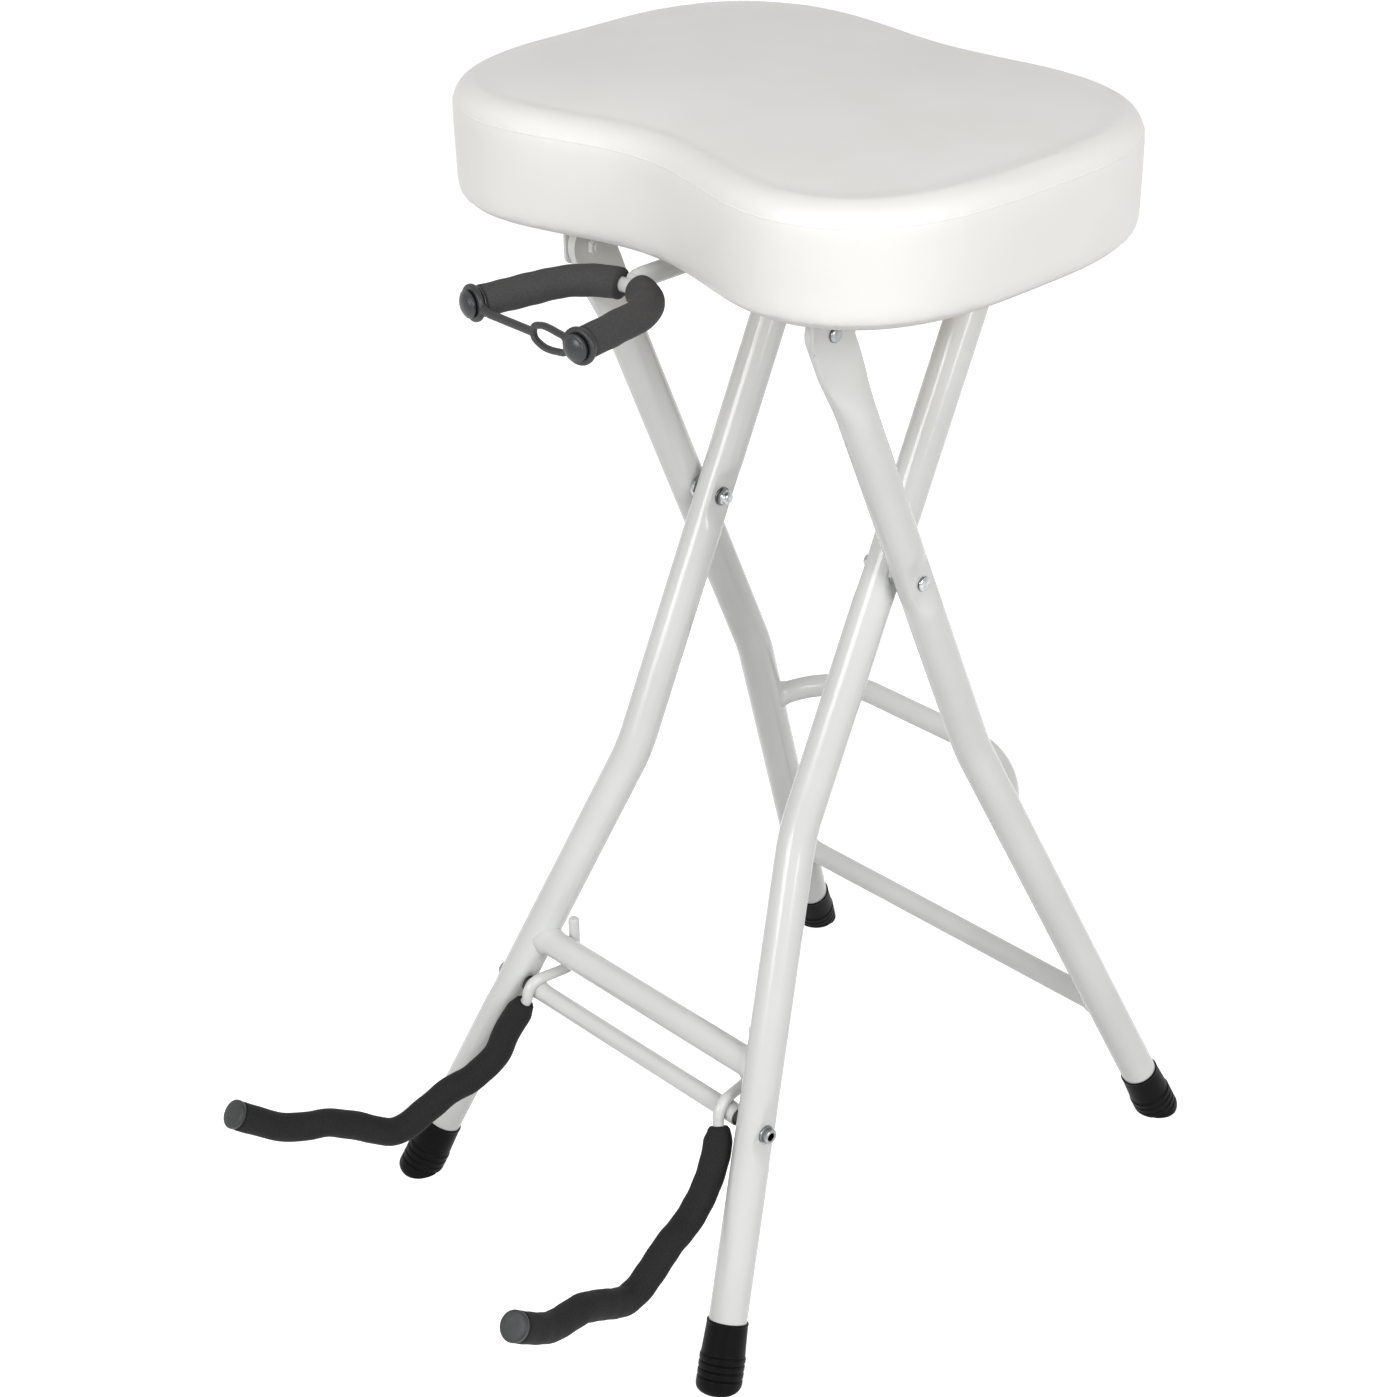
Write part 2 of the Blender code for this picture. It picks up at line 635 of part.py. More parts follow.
def boot(name, rim, direction, sign, body):
    """Flared and ribbed rubber boot on the end of a leg, with a rounded toe, flat at the floor."""
    bore = (TUBE_RADIUS + GAP) / cos(pi / BOOT_SIDES)
    groove = bore + BOOT_WALL + BOOT_FLARE
    rib = groove + BOOT_RIB_RISE
    profile = [(bore, BOOT_GRIP + GAP), (bore, 0.0), (bore + BOOT_WALL, 0.0),
               (groove, BOOT_FLARE_LENGTH)]
    place = BOOT_FLARE_LENGTH
    for _ in range(BOOT_RIB_COUNT):
        profile += [(rib, place + BOOT_RIB_PITCH / 2.0), (groove, place + BOOT_RIB_PITCH)]
        place += BOOT_RIB_PITCH
    shoulder = max(place, FOOT_RIM_HEIGHT / -direction[2]) + BOOT_RIB_RISE
    profile += [(rib, shoulder),
                (rib - BOOT_TOE_SHARE * BOOT_TOE_INSET, shoulder + BOOT_TOE_LENGTH / 2.0),
                (rib - BOOT_TOE_INSET, shoulder + BOOT_TOE_LENGTH)]
    mesh_data = turned(name, profile, BOOT_SIDES)
    piece = add_piece(name, mesh_data, RUBBER, body, mirrored(rim, sign), mirrored(direction, sign))
    cut(piece, FLOOR_CUTTER)


def rear_leg_rings(radius, depth, bore):
    """Rings of the right rear leg, from its foot to its flattened end or to the bore's end."""
    foot_drop = REAR_RIM_DROP + BOOT_GRIP / sqrt(1.0 + REAR_SPLAY**2)
    end = HINGE_RISE + LEG_END_RADIUS
    flat_start = HINGE_RISE - LEG_FLAT_LENGTH
    taper_start = flat_start - LEG_FLATTENING
    top = taper_start - PRESS_FADE if bore else end
    corners = ((rear_leg_point(foot_drop)[0], -foot_drop), (REAR_HALF_WIDTH, -REAR_KNEE_DROP),
               (REAR_HALF_WIDTH, top))
    flat = fillet_path(corners, (KNEE_BEND_RADIUS,))
    levels = list(press_levels(0.0, PRESS_HALF_LENGTH, PRESS_FADE))
    levels += [taper_start + share * LEG_FLATTENING for share in LEG_TAPER_SHARES]
    levels += [HINGE_RISE + LEG_END_RADIUS * sin(radians(turn)) for turn in LEG_END_TURNS]
    flat = add_levels(flat, levels)
    path = flat[:, :1] * ACROSS + flat[:, 1:] * REAR_UP
    along = path @ REAR_UP
    rise = np.clip((along - taper_start) / LEG_FLATTENING, 0.0, 1.0)
    rise = rise * rise * (3.0 - 2.0 * rise)
    half_width = radius + rise * (LEG_END_RADIUS - radius)
    over = np.clip((along - HINGE_RISE) / LEG_END_RADIUS, 0.0, LEG_TIP_SHARE)
    half_width = half_width * np.sqrt(1.0 - over * over)
    rings = tube_rings(path, REAR_NORMAL, radius, TUBE_SIDES, half_width / radius)
    for plane, outwards in ((rear_flat(True), True), (rear_flat(False), False)):
        rings = press(rings, along, 0.0, PRESS_HALF_LENGTH, PRESS_FADE, plane, outwards, depth)
    half_flat = end - flat_start
    for plane, outwards in ((REAR_HALF_WIDTH + LEG_END_THICKNESS / 2.0, True),
                            (REAR_HALF_WIDTH - LEG_END_THICKNESS / 2.0, False)):
        rings = press(rings, along, end, half_flat, LEG_FLATTENING, plane, outwards)
    return rings


def build_rear_frame(body):
    """Two legs, the bowed brace, the lower brace and the boots."""
    bow = bow_brace(body)
    centre = -LOWER_BRACE_DROP * REAR_UP
    half = rear_leg_point(LOWER_BRACE_DROP)[0]
    lower = straight_bar("rear_lower_brace", centre, half, BRACE_RADIUS, body)
    for name, sign in SIDES:
        outer = rear_leg_rings(TUBE_RADIUS, 0.0, False)
        inner = rear_leg_rings(TUBE_RADIUS - TUBE_WALL, TUBE_WALL, True)
        rings = [mirrored(ring, sign) for ring in list(inner[::-1]) + list(outer)]
        leg = add_piece("rear_leg_" + name, skin("rear_leg_" + name, rings), ENAMEL, body)
        cut(leg, PIVOT_DRILL)
        cut(leg, HINGE_DRILL)
        seat_on_leg(bow, "bow_cope_" + name, rear_leg_point(BOW_DROP), rear_leg_direction(), sign)
        seat_on_leg(lower, "lower_cope_" + name, rear_leg_point(LOWER_BRACE_DROP),
                    rear_leg_direction(), sign)
        boot("rear_foot_" + name, rear_leg_point(REAR_RIM_DROP), rear_leg_direction(), sign, body)


def bow_brace(body):
    """The brace that bows backwards between the rear legs, swollen at its welds."""
    leg = rear_leg_point(BOW_DROP)
    corner = leg - BOW_INSET * ACROSS + BOW_DEPTH * REAR_NORMAL
    corners = (leg, corner, mirrored(corner, -1), mirrored(leg, -1))
    path = fillet_path(corners, (BOW_BEND_RADIUS, BOW_BEND_RADIUS))
    length = path_length(path)[-1]
    weld = TUBE_RADIUS + WELD_LENGTH
    path = np.vstack((path[:1], between(path, TUBE_RADIUS, weld)[:1],
                      between(path, weld, length - weld),
                      between(path, length - weld, length - TUBE_RADIUS)[-1:], path[-1:]))
    radii = np.full(len(path), BRACE_RADIUS)
    radii[[0, 1, -2, -1]] += WELD_RISE
    rings = tube_rings(path, REAR_UP, radii, BAR_SIDES)
    return add_piece("rear_bow_brace", skin("rear_bow_brace", rings), ENAMEL, body)


def domed_bolt(name, head_radius, head_height, grip, at, direction, body, coat):
    """A bolt whose low domed head sits at its place, with its shank along the direction."""
    dome = [(head_radius * out, -head_height * up) for out, up in BOLT_HEAD_SHARES]
    profile = (*dome, (head_radius, 0.0), (BOLT_RADIUS, 0.0), (BOLT_RADIUS, grip))
    add_piece(name, turned(name, profile), coat, body, at, direction)


def acorn_nut(name, at, direction, body):
    """A hexagonal nut with a closed dome; its blind bore takes the end of a bolt."""
    bore = BOLT_RADIUS + GAP
    dome = [(NUT_RADIUS * out, NUT_HEIGHT + NUT_DOME_HEIGHT * up) for out, up in NUT_DOME_SHARES]
    profile = ((bore, NUT_BORE_DEPTH), (bore, 0.0), (NUT_RADIUS, 0.0, True),
               (NUT_RADIUS, NUT_HEIGHT, True), *dome)
    add_piece(name, turned(name, profile, NUT_SIDES), ZINC, body, at, direction)


def washer(name, radius, bore, thickness, at, direction, body, coat):
    """A flat ring that stands on its place."""
    profile = ((radius, 0.0), (radius, thickness), (bore, thickness), (bore, 0.0))
    add_piece(name, turned(name, profile, loop=True), coat, body, at, direction)


def build_frame_pivot(body):
    """Bolt, washer and acorn nut on each side of the frame."""
    for name, sign in SIDES:
        head = rear_flat(True) + GAP
        nut = front_flat(False) - GAP
        inward = -sign * ACROSS
        grip = head - nut + NUT_BORE_DEPTH - GAP
        domed_bolt("pivot_bolt_" + name, BOLT_HEAD_RADIUS, BOLT_HEAD_HEIGHT, grip,
                   sign * head * ACROSS, inward, body, ZINC)
        acorn_nut("pivot_nut_" + name, sign * nut * ACROSS, inward, body)
        washer("pivot_washer_" + name, PIVOT_WASHER_RADIUS, BOLT_RADIUS + GAP,
               PIVOT_WASHER_THICKNESS, sign * (front_flat(True) + GAP) * ACROSS, sign * ACROSS,
               body, ZINC)


def cross_tube_end():
    """X of the right end of the cradle's cross tube."""
    return cradle_flat(False) - GAP - CRADLE_WASHER_THICKNESS - GAP


def build_cradle_pivot(front, cradle):
    """Socket head screws through the legs, spacers, cross tube and its threaded plugs."""
    end = cross_tube_end()
    bore = CROSS_TUBE_RADIUS - CROSS_TUBE_WALL
    path = np.array([CRADLE_AXIS + place * ACROSS for place in (-end, end)])
    outer = tube_rings(path, (0.0, 0.0, 1.0), CROSS_TUBE_RADIUS, BAR_SIDES)
    inner = tube_rings(path, (0.0, 0.0, 1.0), bore, BAR_SIDES)
    mesh_data = skin("cradle_cross_tube", list(outer) + list(inner[::-1]), loop=True)
    add_piece("cradle_cross_tube", mesh_data, ENAMEL, cradle)
    hole = BOLT_RADIUS + GAP
    plug = (bore - GAP) * cos(pi / BAR_SIDES)
    for name, sign in SIDES:
        head = cradle_flat(True) + GAP
        grip = head - end + CAP_SCREW_GRIP
        domed_bolt("cradle_bolt_" + name, CAP_SCREW_HEAD_RADIUS, CAP_SCREW_HEAD_HEIGHT, grip,
                   CRADLE_AXIS + sign * head * ACROSS, -sign * ACROSS, front, STEEL)
        washer("cradle_washer_" + name, CRADLE_WASHER_RADIUS, hole, CRADLE_WASHER_THICKNESS,
               CRADLE_AXIS + sign * (end + GAP) * ACROSS, sign * ACROSS, cradle, NYLON)
        profile = ((hole, CAP_SCREW_GRIP + GAP), (hole, 0.0), (plug, 0.0), (plug, PLUG_LENGTH))
        add_piece("cradle_plug_" + name, turned("cradle_plug_" + name, profile), ZINC, cradle,
                  CRADLE_AXIS + sign * end * ACROSS, -sign * ACROSS)


def arm_route():
    """Centre line of the right arm, and how far along it the foam starts.

    A stub stands behind the footrest bar and stops the cradle there.  The rod then passes over
    the cross tube, hooks down in front of it and waves forwards, outwards and down to the tip.
    """
    hook = CROSS_TUBE_RADIUS + ROD_RADIUS + GAP
    bar = -FOOTREST_DROP * FRONT_UP - CRADLE_AXIS
    behind = FOOTREST_RADIUS + ROD_RADIUS + GAP + bar[1]
    weld = cross_tube_end() - ARM_END_INSET
    inner = weld - STUB_INSET
    stub = ((inner, -behind, STUB_RISE), (inner, -behind, hook), (weld, hook, hook),
            (weld, hook, 0.0))
    start = fillet_path(stub, (STUB_BEND_RADIUS, hook))
    size = np.array((ARM_REACH, -ARM_DROP, ARM_SPREAD))
    reach = [share * size for share in np.array(ARM_ROUTE_SHARES)]
    reach = [(weld + out, ahead, up) for ahead, up, out in reach]
    wave = smooth_curve([stub[-1]] + reach, (0.0, 0.0, -1.0), ARM_STEP)
    hooked = path_length(start)[-1]
    route = np.vstack((start, wave[1:])) * np.array((1.0, -1.0, 1.0)) + CRADLE_AXIS
    return route, hooked + SLEEVE_START


def build_cradle_arms(body):
    """Bent rods, their foam sleeves and end caps."""
    route, foam_start = arm_route()
    length = path_length(route)[-1]
    foam_end = length - ROD_TIP_LENGTH
    foam_path = between(route, foam_start, foam_end)
    from_start = path_length(foam_path)
    share = np.clip(from_start / SLEEVE_NECK_LENGTH, 0.0, 1.0)
    share = share * share * (3.0 - 2.0 * share)
    outer_radius = SLEEVE_NECK_RADIUS + share * (SLEEVE_RADIUS - SLEEVE_NECK_RADIUS)
    bore = (ROD_RADIUS + GAP) / cos(pi / SLEEVE_SIDES)
    rod_path = between(route, 0.0, foam_start)
    rod_path = np.vstack((rod_path, foam_path[1:], route[-1:]))
    tip_way = route[-1] - route[-2]
    for name, sign in SIDES:
        rod = [mirrored(ring, sign) for ring in tube_rings(rod_path, ACROSS, ROD_RADIUS, ROD_SIDES)]
        add_piece("cradle_rod_" + name, skin("cradle_rod_" + name, rod), ENAMEL, body)
        outer = tube_rings(foam_path, ACROSS, outer_radius, SLEEVE_SIDES)
        inner = tube_rings(foam_path, ACROSS, bore, SLEEVE_SIDES)
        foam = [mirrored(ring, sign) for ring in list(outer) + list(inner[::-1])]
        mesh_data = skin("cradle_sleeve_" + name, foam, loop=True)
        add_piece("cradle_sleeve_" + name, mesh_data, FOAM, body)
        dome = [(TIP_RADIUS * out, TIP_LENGTH * up) for out, up in TIP_SHARES]
        profile = ((ROD_RADIUS + GAP, ROD_TIP_LENGTH), (ROD_RADIUS + GAP, 0.0), *dome)
        way = mirrored(tip_way / np.linalg.norm(tip_way), sign)
        at = mirrored(foam_path[-1], sign) + GAP * way
        mesh_data = turned("cradle_tip_" + name, profile, CAP_SIDES)
        add_piece("cradle_tip_" + name, mesh_data, CAP_GREY, body, at, way)


def seat_outline():
    """Plan of the seat: two broad lobes with a waist, points evenly spaced round the edge.

    Each coordinate is a power of a cosine or a sine, and the depth is drawn in by a bell curve
    in the middle, more at the front than at the rear.
    """
    turn = np.linspace(0.0, 2.0 * pi, SEAT_PLAN_SAMPLES)
    x = SEAT_WIDTH / 2.0 * np.sign(np.cos(turn)) * np.abs(np.cos(turn)) ** SEAT_SIDE_POWER
    lobe = np.sign(np.sin(turn)) * np.abs(np.sin(turn)) ** SEAT_LOBE_POWER
    bell = np.exp(-((x / WAIST_WIDTH) ** 2))
    waist = np.where(np.sin(turn) < 0.0, FRONT_WAIST_SHARE, REAR_WAIST_SHARE)
    y = SEAT_MIDDLE_Y + SEAT_LOBE_DEPTH / 2.0 * lobe * (1.0 - waist * bell)
    fine = np.column_stack((x, y))
    reach = path_length(fine)
    places = np.linspace(0.0, reach[-1], SEAT_POINTS, endpoint=False)
    return np.column_stack([np.interp(places, reach, fine[:, k]) for k in range(2)])


def inset_ring(outline, inset, height):
    """The outline moved inwards by a distance, as a level ring."""
    run = np.roll(outline, -1, axis=0) - np.roll(outline, 1, axis=0)
    run = run / np.linalg.norm(run, axis=1)[:, None]
    inward = np.column_stack((-run[:, 1], run[:, 0]))
    flat = outline + inset * inward
    return np.column_stack((flat, np.full(len(flat), height)))


def crown_rings(edge, top, crown):
    """Rings from near the middle of the cushion out to its edge, over a low crown."""
    middle = np.array((0.0, SEAT_MIDDLE_Y, top))
    rings = []
    for share in CROWN_RING_SHARES[::-1]:
        ring = middle + share * (edge - middle)
        ring[:, 2] = top + crown * (1.0 - share**2)
        rings.append(ring)
    return rings


def cushion_rings(outline, depth, edge_steps):
    """Rings over the top and down the sides of the cushion, a depth below its surface."""
    top = SEAT_UNDERSIDE + SEAT_WALL_HEIGHT
    rings = []
    edge = inset_ring(outline, SEAT_TOP_EDGE_RADIUS, top - depth)
    rings += crown_rings(edge, top - depth, SEAT_CROWN)
    for turn in np.linspace(pi / 2.0, 0.0, edge_steps + 1):
        radius = SEAT_TOP_EDGE_RADIUS - depth
        inset = SEAT_TOP_EDGE_RADIUS - radius * cos(turn)
        height = top - SEAT_TOP_EDGE_RADIUS + radius * sin(turn)
        rings.append(inset_ring(outline, inset, height))
    middle = SEAT_UNDERSIDE + (SEAT_HEM_RADIUS + SEAT_WALL_HEIGHT - SEAT_TOP_EDGE_RADIUS) / 2.0
    rings.append(inset_ring(outline, depth - SEAT_SIDE_BULGE, middle))
    return rings


def hem_rings(outline, depth, steps):
    """Rings round the lower edge of the cover and under the board."""
    rings = []
    for turn in np.linspace(0.0, pi / 2.0, steps + 1):
        radius = SEAT_HEM_RADIUS - depth
        inset = SEAT_HEM_RADIUS - radius * cos(turn)
        height = SEAT_UNDERSIDE + SEAT_HEM_RADIUS - radius * sin(turn)
        rings.append(inset_ring(outline, inset, height))
    rings.append(inset_ring(outline, SEAT_HEM_RADIUS + HEM_WIDTH, SEAT_UNDERSIDE + depth))
    return rings


def build_cushion(body):
    """Vinyl cover, foam and the board that carries them."""
    outline = seat_outline()
    outside = cushion_rings(outline, 0.0, 3) + hem_rings(outline, 0.0, 2)
    inside = cushion_rings(outline, VINYL_THICKNESS, 2) + hem_rings(outline, VINYL_THICKNESS, 2)
    add_piece("seat_cover", skin("seat_cover", outside + inside[::-1]), VINYL, body)
    board_top = BOARD_UNDERSIDE + BOARD_THICKNESS
    foam_base = board_top + GAP
    foam = cushion_rings(outline, VINYL_THICKNESS + GAP + GAP, 2)
    foam.append(inset_ring(outline, VINYL_THICKNESS + GAP + GAP, foam_base))
    add_piece("seat_foam", skin("seat_foam", foam), FOAM, body)
    setback = SEAT_HEM_RADIUS + GAP
    board = [inset_ring(outline, setback, level) for level in (BOARD_UNDERSIDE, board_top)]
    piece = add_piece("seat_board", skin("seat_board", board), PLYWOOD, body)
    cut(piece, SCREW_DRILLS)


def bracket_inner_face():
    """X of the inner face of the right bracket's cheek, which lies against the leg's end."""
    return REAR_HALF_WIDTH + LEG_END_THICKNESS / 2.0 + GAP


def build_brackets(body):
    """Angle brackets under the board, with the hinge bolts and nuts."""
    inner = bracket_inner_face()
    outer = inner + BRACKET_THICKNESS
    low = HINGE[2] - BRACKET_BELOW_HINGE
    shelf = FITTING_TOP - BRACKET_THICKNESS
    angle = ((outer, low), (outer, FITTING_TOP - BRACKET_THICKNESS),
             (outer - BRACKET_THICKNESS * BRACKET_BEND_SHARE,
              FITTING_TOP - BRACKET_THICKNESS * BRACKET_BEND_SHARE),
             (outer - BRACKET_THICKNESS, FITTING_TOP), (inner - BRACKET_FLANGE, FITTING_TOP),
             (inner - BRACKET_FLANGE, shelf), (inner, shelf), (inner, low))
    front = HINGE[1] - BRACKET_LENGTH / 2.0
    for name, sign in SIDES:
        outline = [(sign * x, z) for x, z in angle]
        mesh_data = prism("seat_bracket_" + name, outline, front, front + BRACKET_LENGTH, "Y")
        round_corners(mesh_data, low)
        bracket = add_piece("seat_bracket_" + name, mesh_data, ENAMEL, body)
        cut(bracket, HINGE_DRILL)
        cut(bracket, SCREW_DRILLS)
        head = outer + GAP
        nut = REAR_HALF_WIDTH - LEG_END_THICKNESS / 2.0 - GAP
        grip = head - nut + NUT_BORE_DEPTH - GAP
        domed_bolt("seat_hinge_bolt_" + name, BOLT_HEAD_RADIUS, BOLT_HEAD_HEIGHT, grip,
                   HINGE + sign * head * ACROSS, -sign * ACROSS, body, ZINC)
        acorn_nut("seat_hinge_nut_" + name, HINGE + sign * nut * ACROSS, -sign * ACROSS, body)


def round_corners(mesh_data, low):
    """Round the two lower corners of a bracket's cheek."""
    mesh = bmesh.new()
    mesh.from_mesh(mesh_data)
    corners = [edge for edge in mesh.edges
               if all(abs(vert.co.z - low) < GAP for vert in edge.verts)
               and abs(edge.verts[0].co.y - edge.verts[1].co.y) < GAP]
    bmesh.ops.bevel(mesh, geom=corners, offset=BRACKET_CORNER_RADIUS, segments=3,
                    profile=BRACKET_ROUND_SHARE, affect="EDGES")
    mesh.to_mesh(mesh_data)
    mesh.free()


def guide_middles():
    """Y of the middle of the front and rear guides."""
    rear = REAR_GUIDE_BACK_Y - GUIDE_LENGTH / 2.0
    return (("front", HINGE[1] + FRONT_GUIDE_OFFSET + GUIDE_LENGTH / 2.0), ("rear", rear))


def screw_places():
    """Name, X, Y and thickness clamped for each screw that goes up into the board."""
    places = []
    across = bracket_inner_face() - BRACKET_FLANGE / 2.0
    for name, sign in SIDES:
        for end, way in (("front", -1), ("rear", 1)):
            y = HINGE[1] + way * BRACKET_LENGTH / 4.0
            places.append(("bracket_screw_" + name + "_" + end, sign * across, y, BRACKET_THICKNESS))
    ear = saddle_half() + EAR_WIDTH / 2.0
    for name, sign in SIDES:
        y = CROSS_BAR[1] + sign * ear
        places.append(("saddle_screw_" + name, sign * SADDLE_SCREW_OFFSET, y, EAR_THICKNESS))
    ear = guide_half() + EAR_WIDTH / 2.0
    for place, y in guide_middles():
        for name, sign in SIDES:
            places.append((place + "_guide_screw_" + name, sign * ear, y, EAR_THICKNESS))
    return places


def screw_drill_mesh():
    """One cutter with a pilot hole for every screw."""
    mesh = bmesh.new()
    low = FITTING_TOP - EAR_THICKNESS - OVERRUN
    high = BOARD_UNDERSIDE + SCREW_GRIP + GAP
    for _, x, y, _ in screw_places():
        made = bmesh.ops.create_cone(mesh, cap_ends=True, segments=FASTENER_SIDES,
                                     radius1=SCREW_RADIUS + GAP, radius2=SCREW_RADIUS + GAP,
                                     depth=high - low)
        bmesh.ops.translate(mesh, verts=made["verts"], vec=(x, y, (low + high) / 2.0))
    data = bpy.data.meshes.new("screw_drills")
    mesh.to_mesh(data)
    mesh.free()
    return data


def build_screws(body):
    """Pan head screws that hold the fittings to the board."""
    for name, x, y, clamped in screw_places():
        seat = FITTING_TOP - clamped - GAP
        grip = BOARD_UNDERSIDE + SCREW_GRIP - seat
        profile = ((SCREW_HEAD_RADIUS * SCREW_SLOPE_SHARE, -SCREW_HEAD_HEIGHT),
                   (SCREW_HEAD_RADIUS, 0.0), (SCREW_RADIUS, 0.0), (SCREW_RADIUS, grip))
        add_piece(name, turned(name, profile), ZINC, body, (x, y, seat))


def saddle_half():
    """Half of the saddle's block from front to back."""
    return (TUBE_RADIUS + GAP) * sin(SADDLE_WRAP) + SADDLE_WALL


def build_saddle(body):
    """Moulded block that sits on the cross bar, with an ear in front and one behind."""
    radius = TUBE_RADIUS + GAP
    block = saddle_half()
    ear_low = FITTING_TOP - EAR_THICKNESS
    low = CROSS_BAR[2] + radius * cos(SADDLE_WRAP)
    arc = [(radius * sin(turn), CROSS_BAR[2] + radius * cos(turn))
           for turn in np.linspace(-SADDLE_WRAP, SADDLE_WRAP, SADDLE_ARC_POINTS)]
    outline = [(-block - EAR_WIDTH, FITTING_TOP), (-block - EAR_WIDTH, ear_low), (-block, ear_low),
               (-block, low), *arc, (block, low), (block, ear_low), (block + EAR_WIDTH, ear_low),
               (block + EAR_WIDTH, FITTING_TOP)]
    outline = [(CROSS_BAR[1] + y, z) for y, z in outline]
    mesh_data = prism("top_bar_saddle", outline, -SADDLE_LENGTH / 2.0, SADDLE_LENGTH / 2.0, "X")
    saddle = add_piece("top_bar_saddle", mesh_data, NYLON, body)
    cut(saddle, SCREW_DRILLS)


def guide_half():
    """Half width of a guide's block."""
    return ARM_TUBE_RADIUS + GAP + GUIDE_WALL


def build_guides(body):
    """Two moulded blocks in which the hanger's arm slides."""
    half = guide_half()
    ear_low = FITTING_TOP - EAR_THICKNESS
    wide = half + EAR_WIDTH
    round_end = [(half * cos(turn), HANGER_HEIGHT - half * sin(turn))
                 for turn in np.linspace(0.0, pi, GUIDE_ARC_POINTS)]
    outline = [(-wide, ear_low), (-wide, FITTING_TOP), (wide, FITTING_TOP), (wide, ear_low),
               (half, ear_low), *round_end, (-half, ear_low)]
    for name, middle in guide_middles():
        start = middle - GUIDE_LENGTH / 2.0
        node = "hanger_guide_" + name
        guide = add_piece(node, prism(node, outline, start, start + GUIDE_LENGTH, "Y"), NYLON, body)
        cut(guide, ARM_DRILL)
        cut(guide, SCREW_DRILLS)


def build_hanger_arm(body):
    """Sliding tube with a drawn-down nose that meets the yoke, and its stop pin."""
    nose_end = YOKE_BASE_Y + YOKE_ROD_RADIUS + GAP
    taper_start = nose_end + NOSE_LENGTH
    full = taper_start + NOSE_TAPER
    bore = ARM_TUBE_RADIUS - ARM_TUBE_WALL
    profile = ((bore, full + OVERRUN - nose_end), (bore, ARM_BACK_Y - nose_end),
               (ARM_TUBE_RADIUS, ARM_BACK_Y - nose_end), (ARM_TUBE_RADIUS, full - nose_end),
               (ARM_TUBE_RADIUS * NOSE_RADIUS_SHARE,
                taper_start + NOSE_TAPER * NOSE_TAPER_SHARE - nose_end),
               (NOSE_RADIUS, taper_start - nose_end), (NOSE_RADIUS, 0.0))
    arm = add_piece("hanger_arm", turned("hanger_arm", profile, ARM_SIDES), ENAMEL, body,
                    (0.0, nose_end, HANGER_HEIGHT), (0.0, 1.0, 0.0))
    half = STOP_PIN_LENGTH / 2.0
    pin_y = (0.0, STOP_PIN_Y, HANGER_HEIGHT)
    start = np.array(pin_y) - (half + OVERRUN) * ACROSS
    end = np.array(pin_y) + (half + OVERRUN) * ACROSS
    cut(arm, drill("stop_pin_drill", start, end, STOP_PIN_RADIUS + GAP))
    pin = turned("hanger_stop_pin", ((STOP_PIN_RADIUS, -half), (STOP_PIN_RADIUS, half)))
    add_piece("hanger_stop_pin", pin, ZINC, body, pin_y, ACROSS)


def yoke_route():
    """Centre line of the yoke's right half, from the middle of its bend to its end."""
    centre_y = YOKE_BASE_Y - YOKE_BEND_RADIUS
    turns = np.linspace(0.0, pi / 2.0 - YOKE_OPENING, YOKE_BEND_POINTS)
    bend = np.column_stack((YOKE_BEND_RADIUS * np.sin(turns),
                            centre_y + YOKE_BEND_RADIUS * np.cos(turns),
                            np.full(len(turns), YOKE_HEIGHT)))
    return np.vstack((bend, bend[-1] + YOKE_PRONG_LENGTH * prong_direction()))


def prong_direction():
    """The way the yoke's right prong points."""
    return np.array((sin(YOKE_OPENING), -cos(YOKE_OPENING), 0.0))


def groove_width():
    """Width of the groove in a cap that takes the strap's ring."""
    return STRAP_THICKNESS + GAP + GAP


def build_yoke(body):
    """Bent rod, foam sleeves and the caps that hold the strap."""
    half_route = yoke_route()
    whole = np.vstack((half_route[::-1], mirrored(half_route[1:], -1)))
    rings = tube_rings(whole, (0.0, 0.0, 1.0), YOKE_ROD_RADIUS, YOKE_FOAM_SIDES)
    add_piece("hanger_yoke", skin("hanger_yoke", rings), ENAMEL, body)
    length = path_length(half_route)[-1]
    cap_base = length - CAP_BORE_DEPTH + GAP
    foam_path = between(half_route, YOKE_FOAM_HALF_GAP, cap_base - GAP)
    bore = (YOKE_ROD_RADIUS + GAP) / cos(pi / YOKE_FOAM_SIDES)
    way = prong_direction()
    neck = CAP_FLANGE_THICKNESS
    head = neck + groove_width()
    dome = [(CAP_HEAD_RADIUS * out, head + CAP_HEAD_THICKNESS * up) for out, up in CAP_HEAD_SHARES]
    for name, sign in SIDES:
        outer = tube_rings(foam_path, (0.0, 0.0, 1.0), YOKE_FOAM_RADIUS, YOKE_FOAM_SIDES)
        inner = tube_rings(foam_path, (0.0, 0.0, 1.0), bore, YOKE_FOAM_SIDES)
        foam = [mirrored(ring, sign) for ring in list(outer) + list(inner[::-1])]
        add_piece("yoke_sleeve_" + name, skin("yoke_sleeve_" + name, foam, loop=True), FOAM, body)
        hole = YOKE_ROD_RADIUS + GAP
        profile = ((hole, CAP_BORE_DEPTH), (hole, 0.0), (CAP_FLANGE_RADIUS, 0.0),
                   (CAP_FLANGE_RADIUS, neck), (CAP_GROOVE_RADIUS, neck), (CAP_GROOVE_RADIUS, head),
                   *dome)
        at = mirrored(half_route[-1] - (CAP_BORE_DEPTH - GAP) * way, sign)
        mesh_data = turned("yoke_cap_" + name, profile, CAP_SIDES)
        add_piece("yoke_cap_" + name, mesh_data, CAP_BLACK, body, at, mirrored(way, sign))


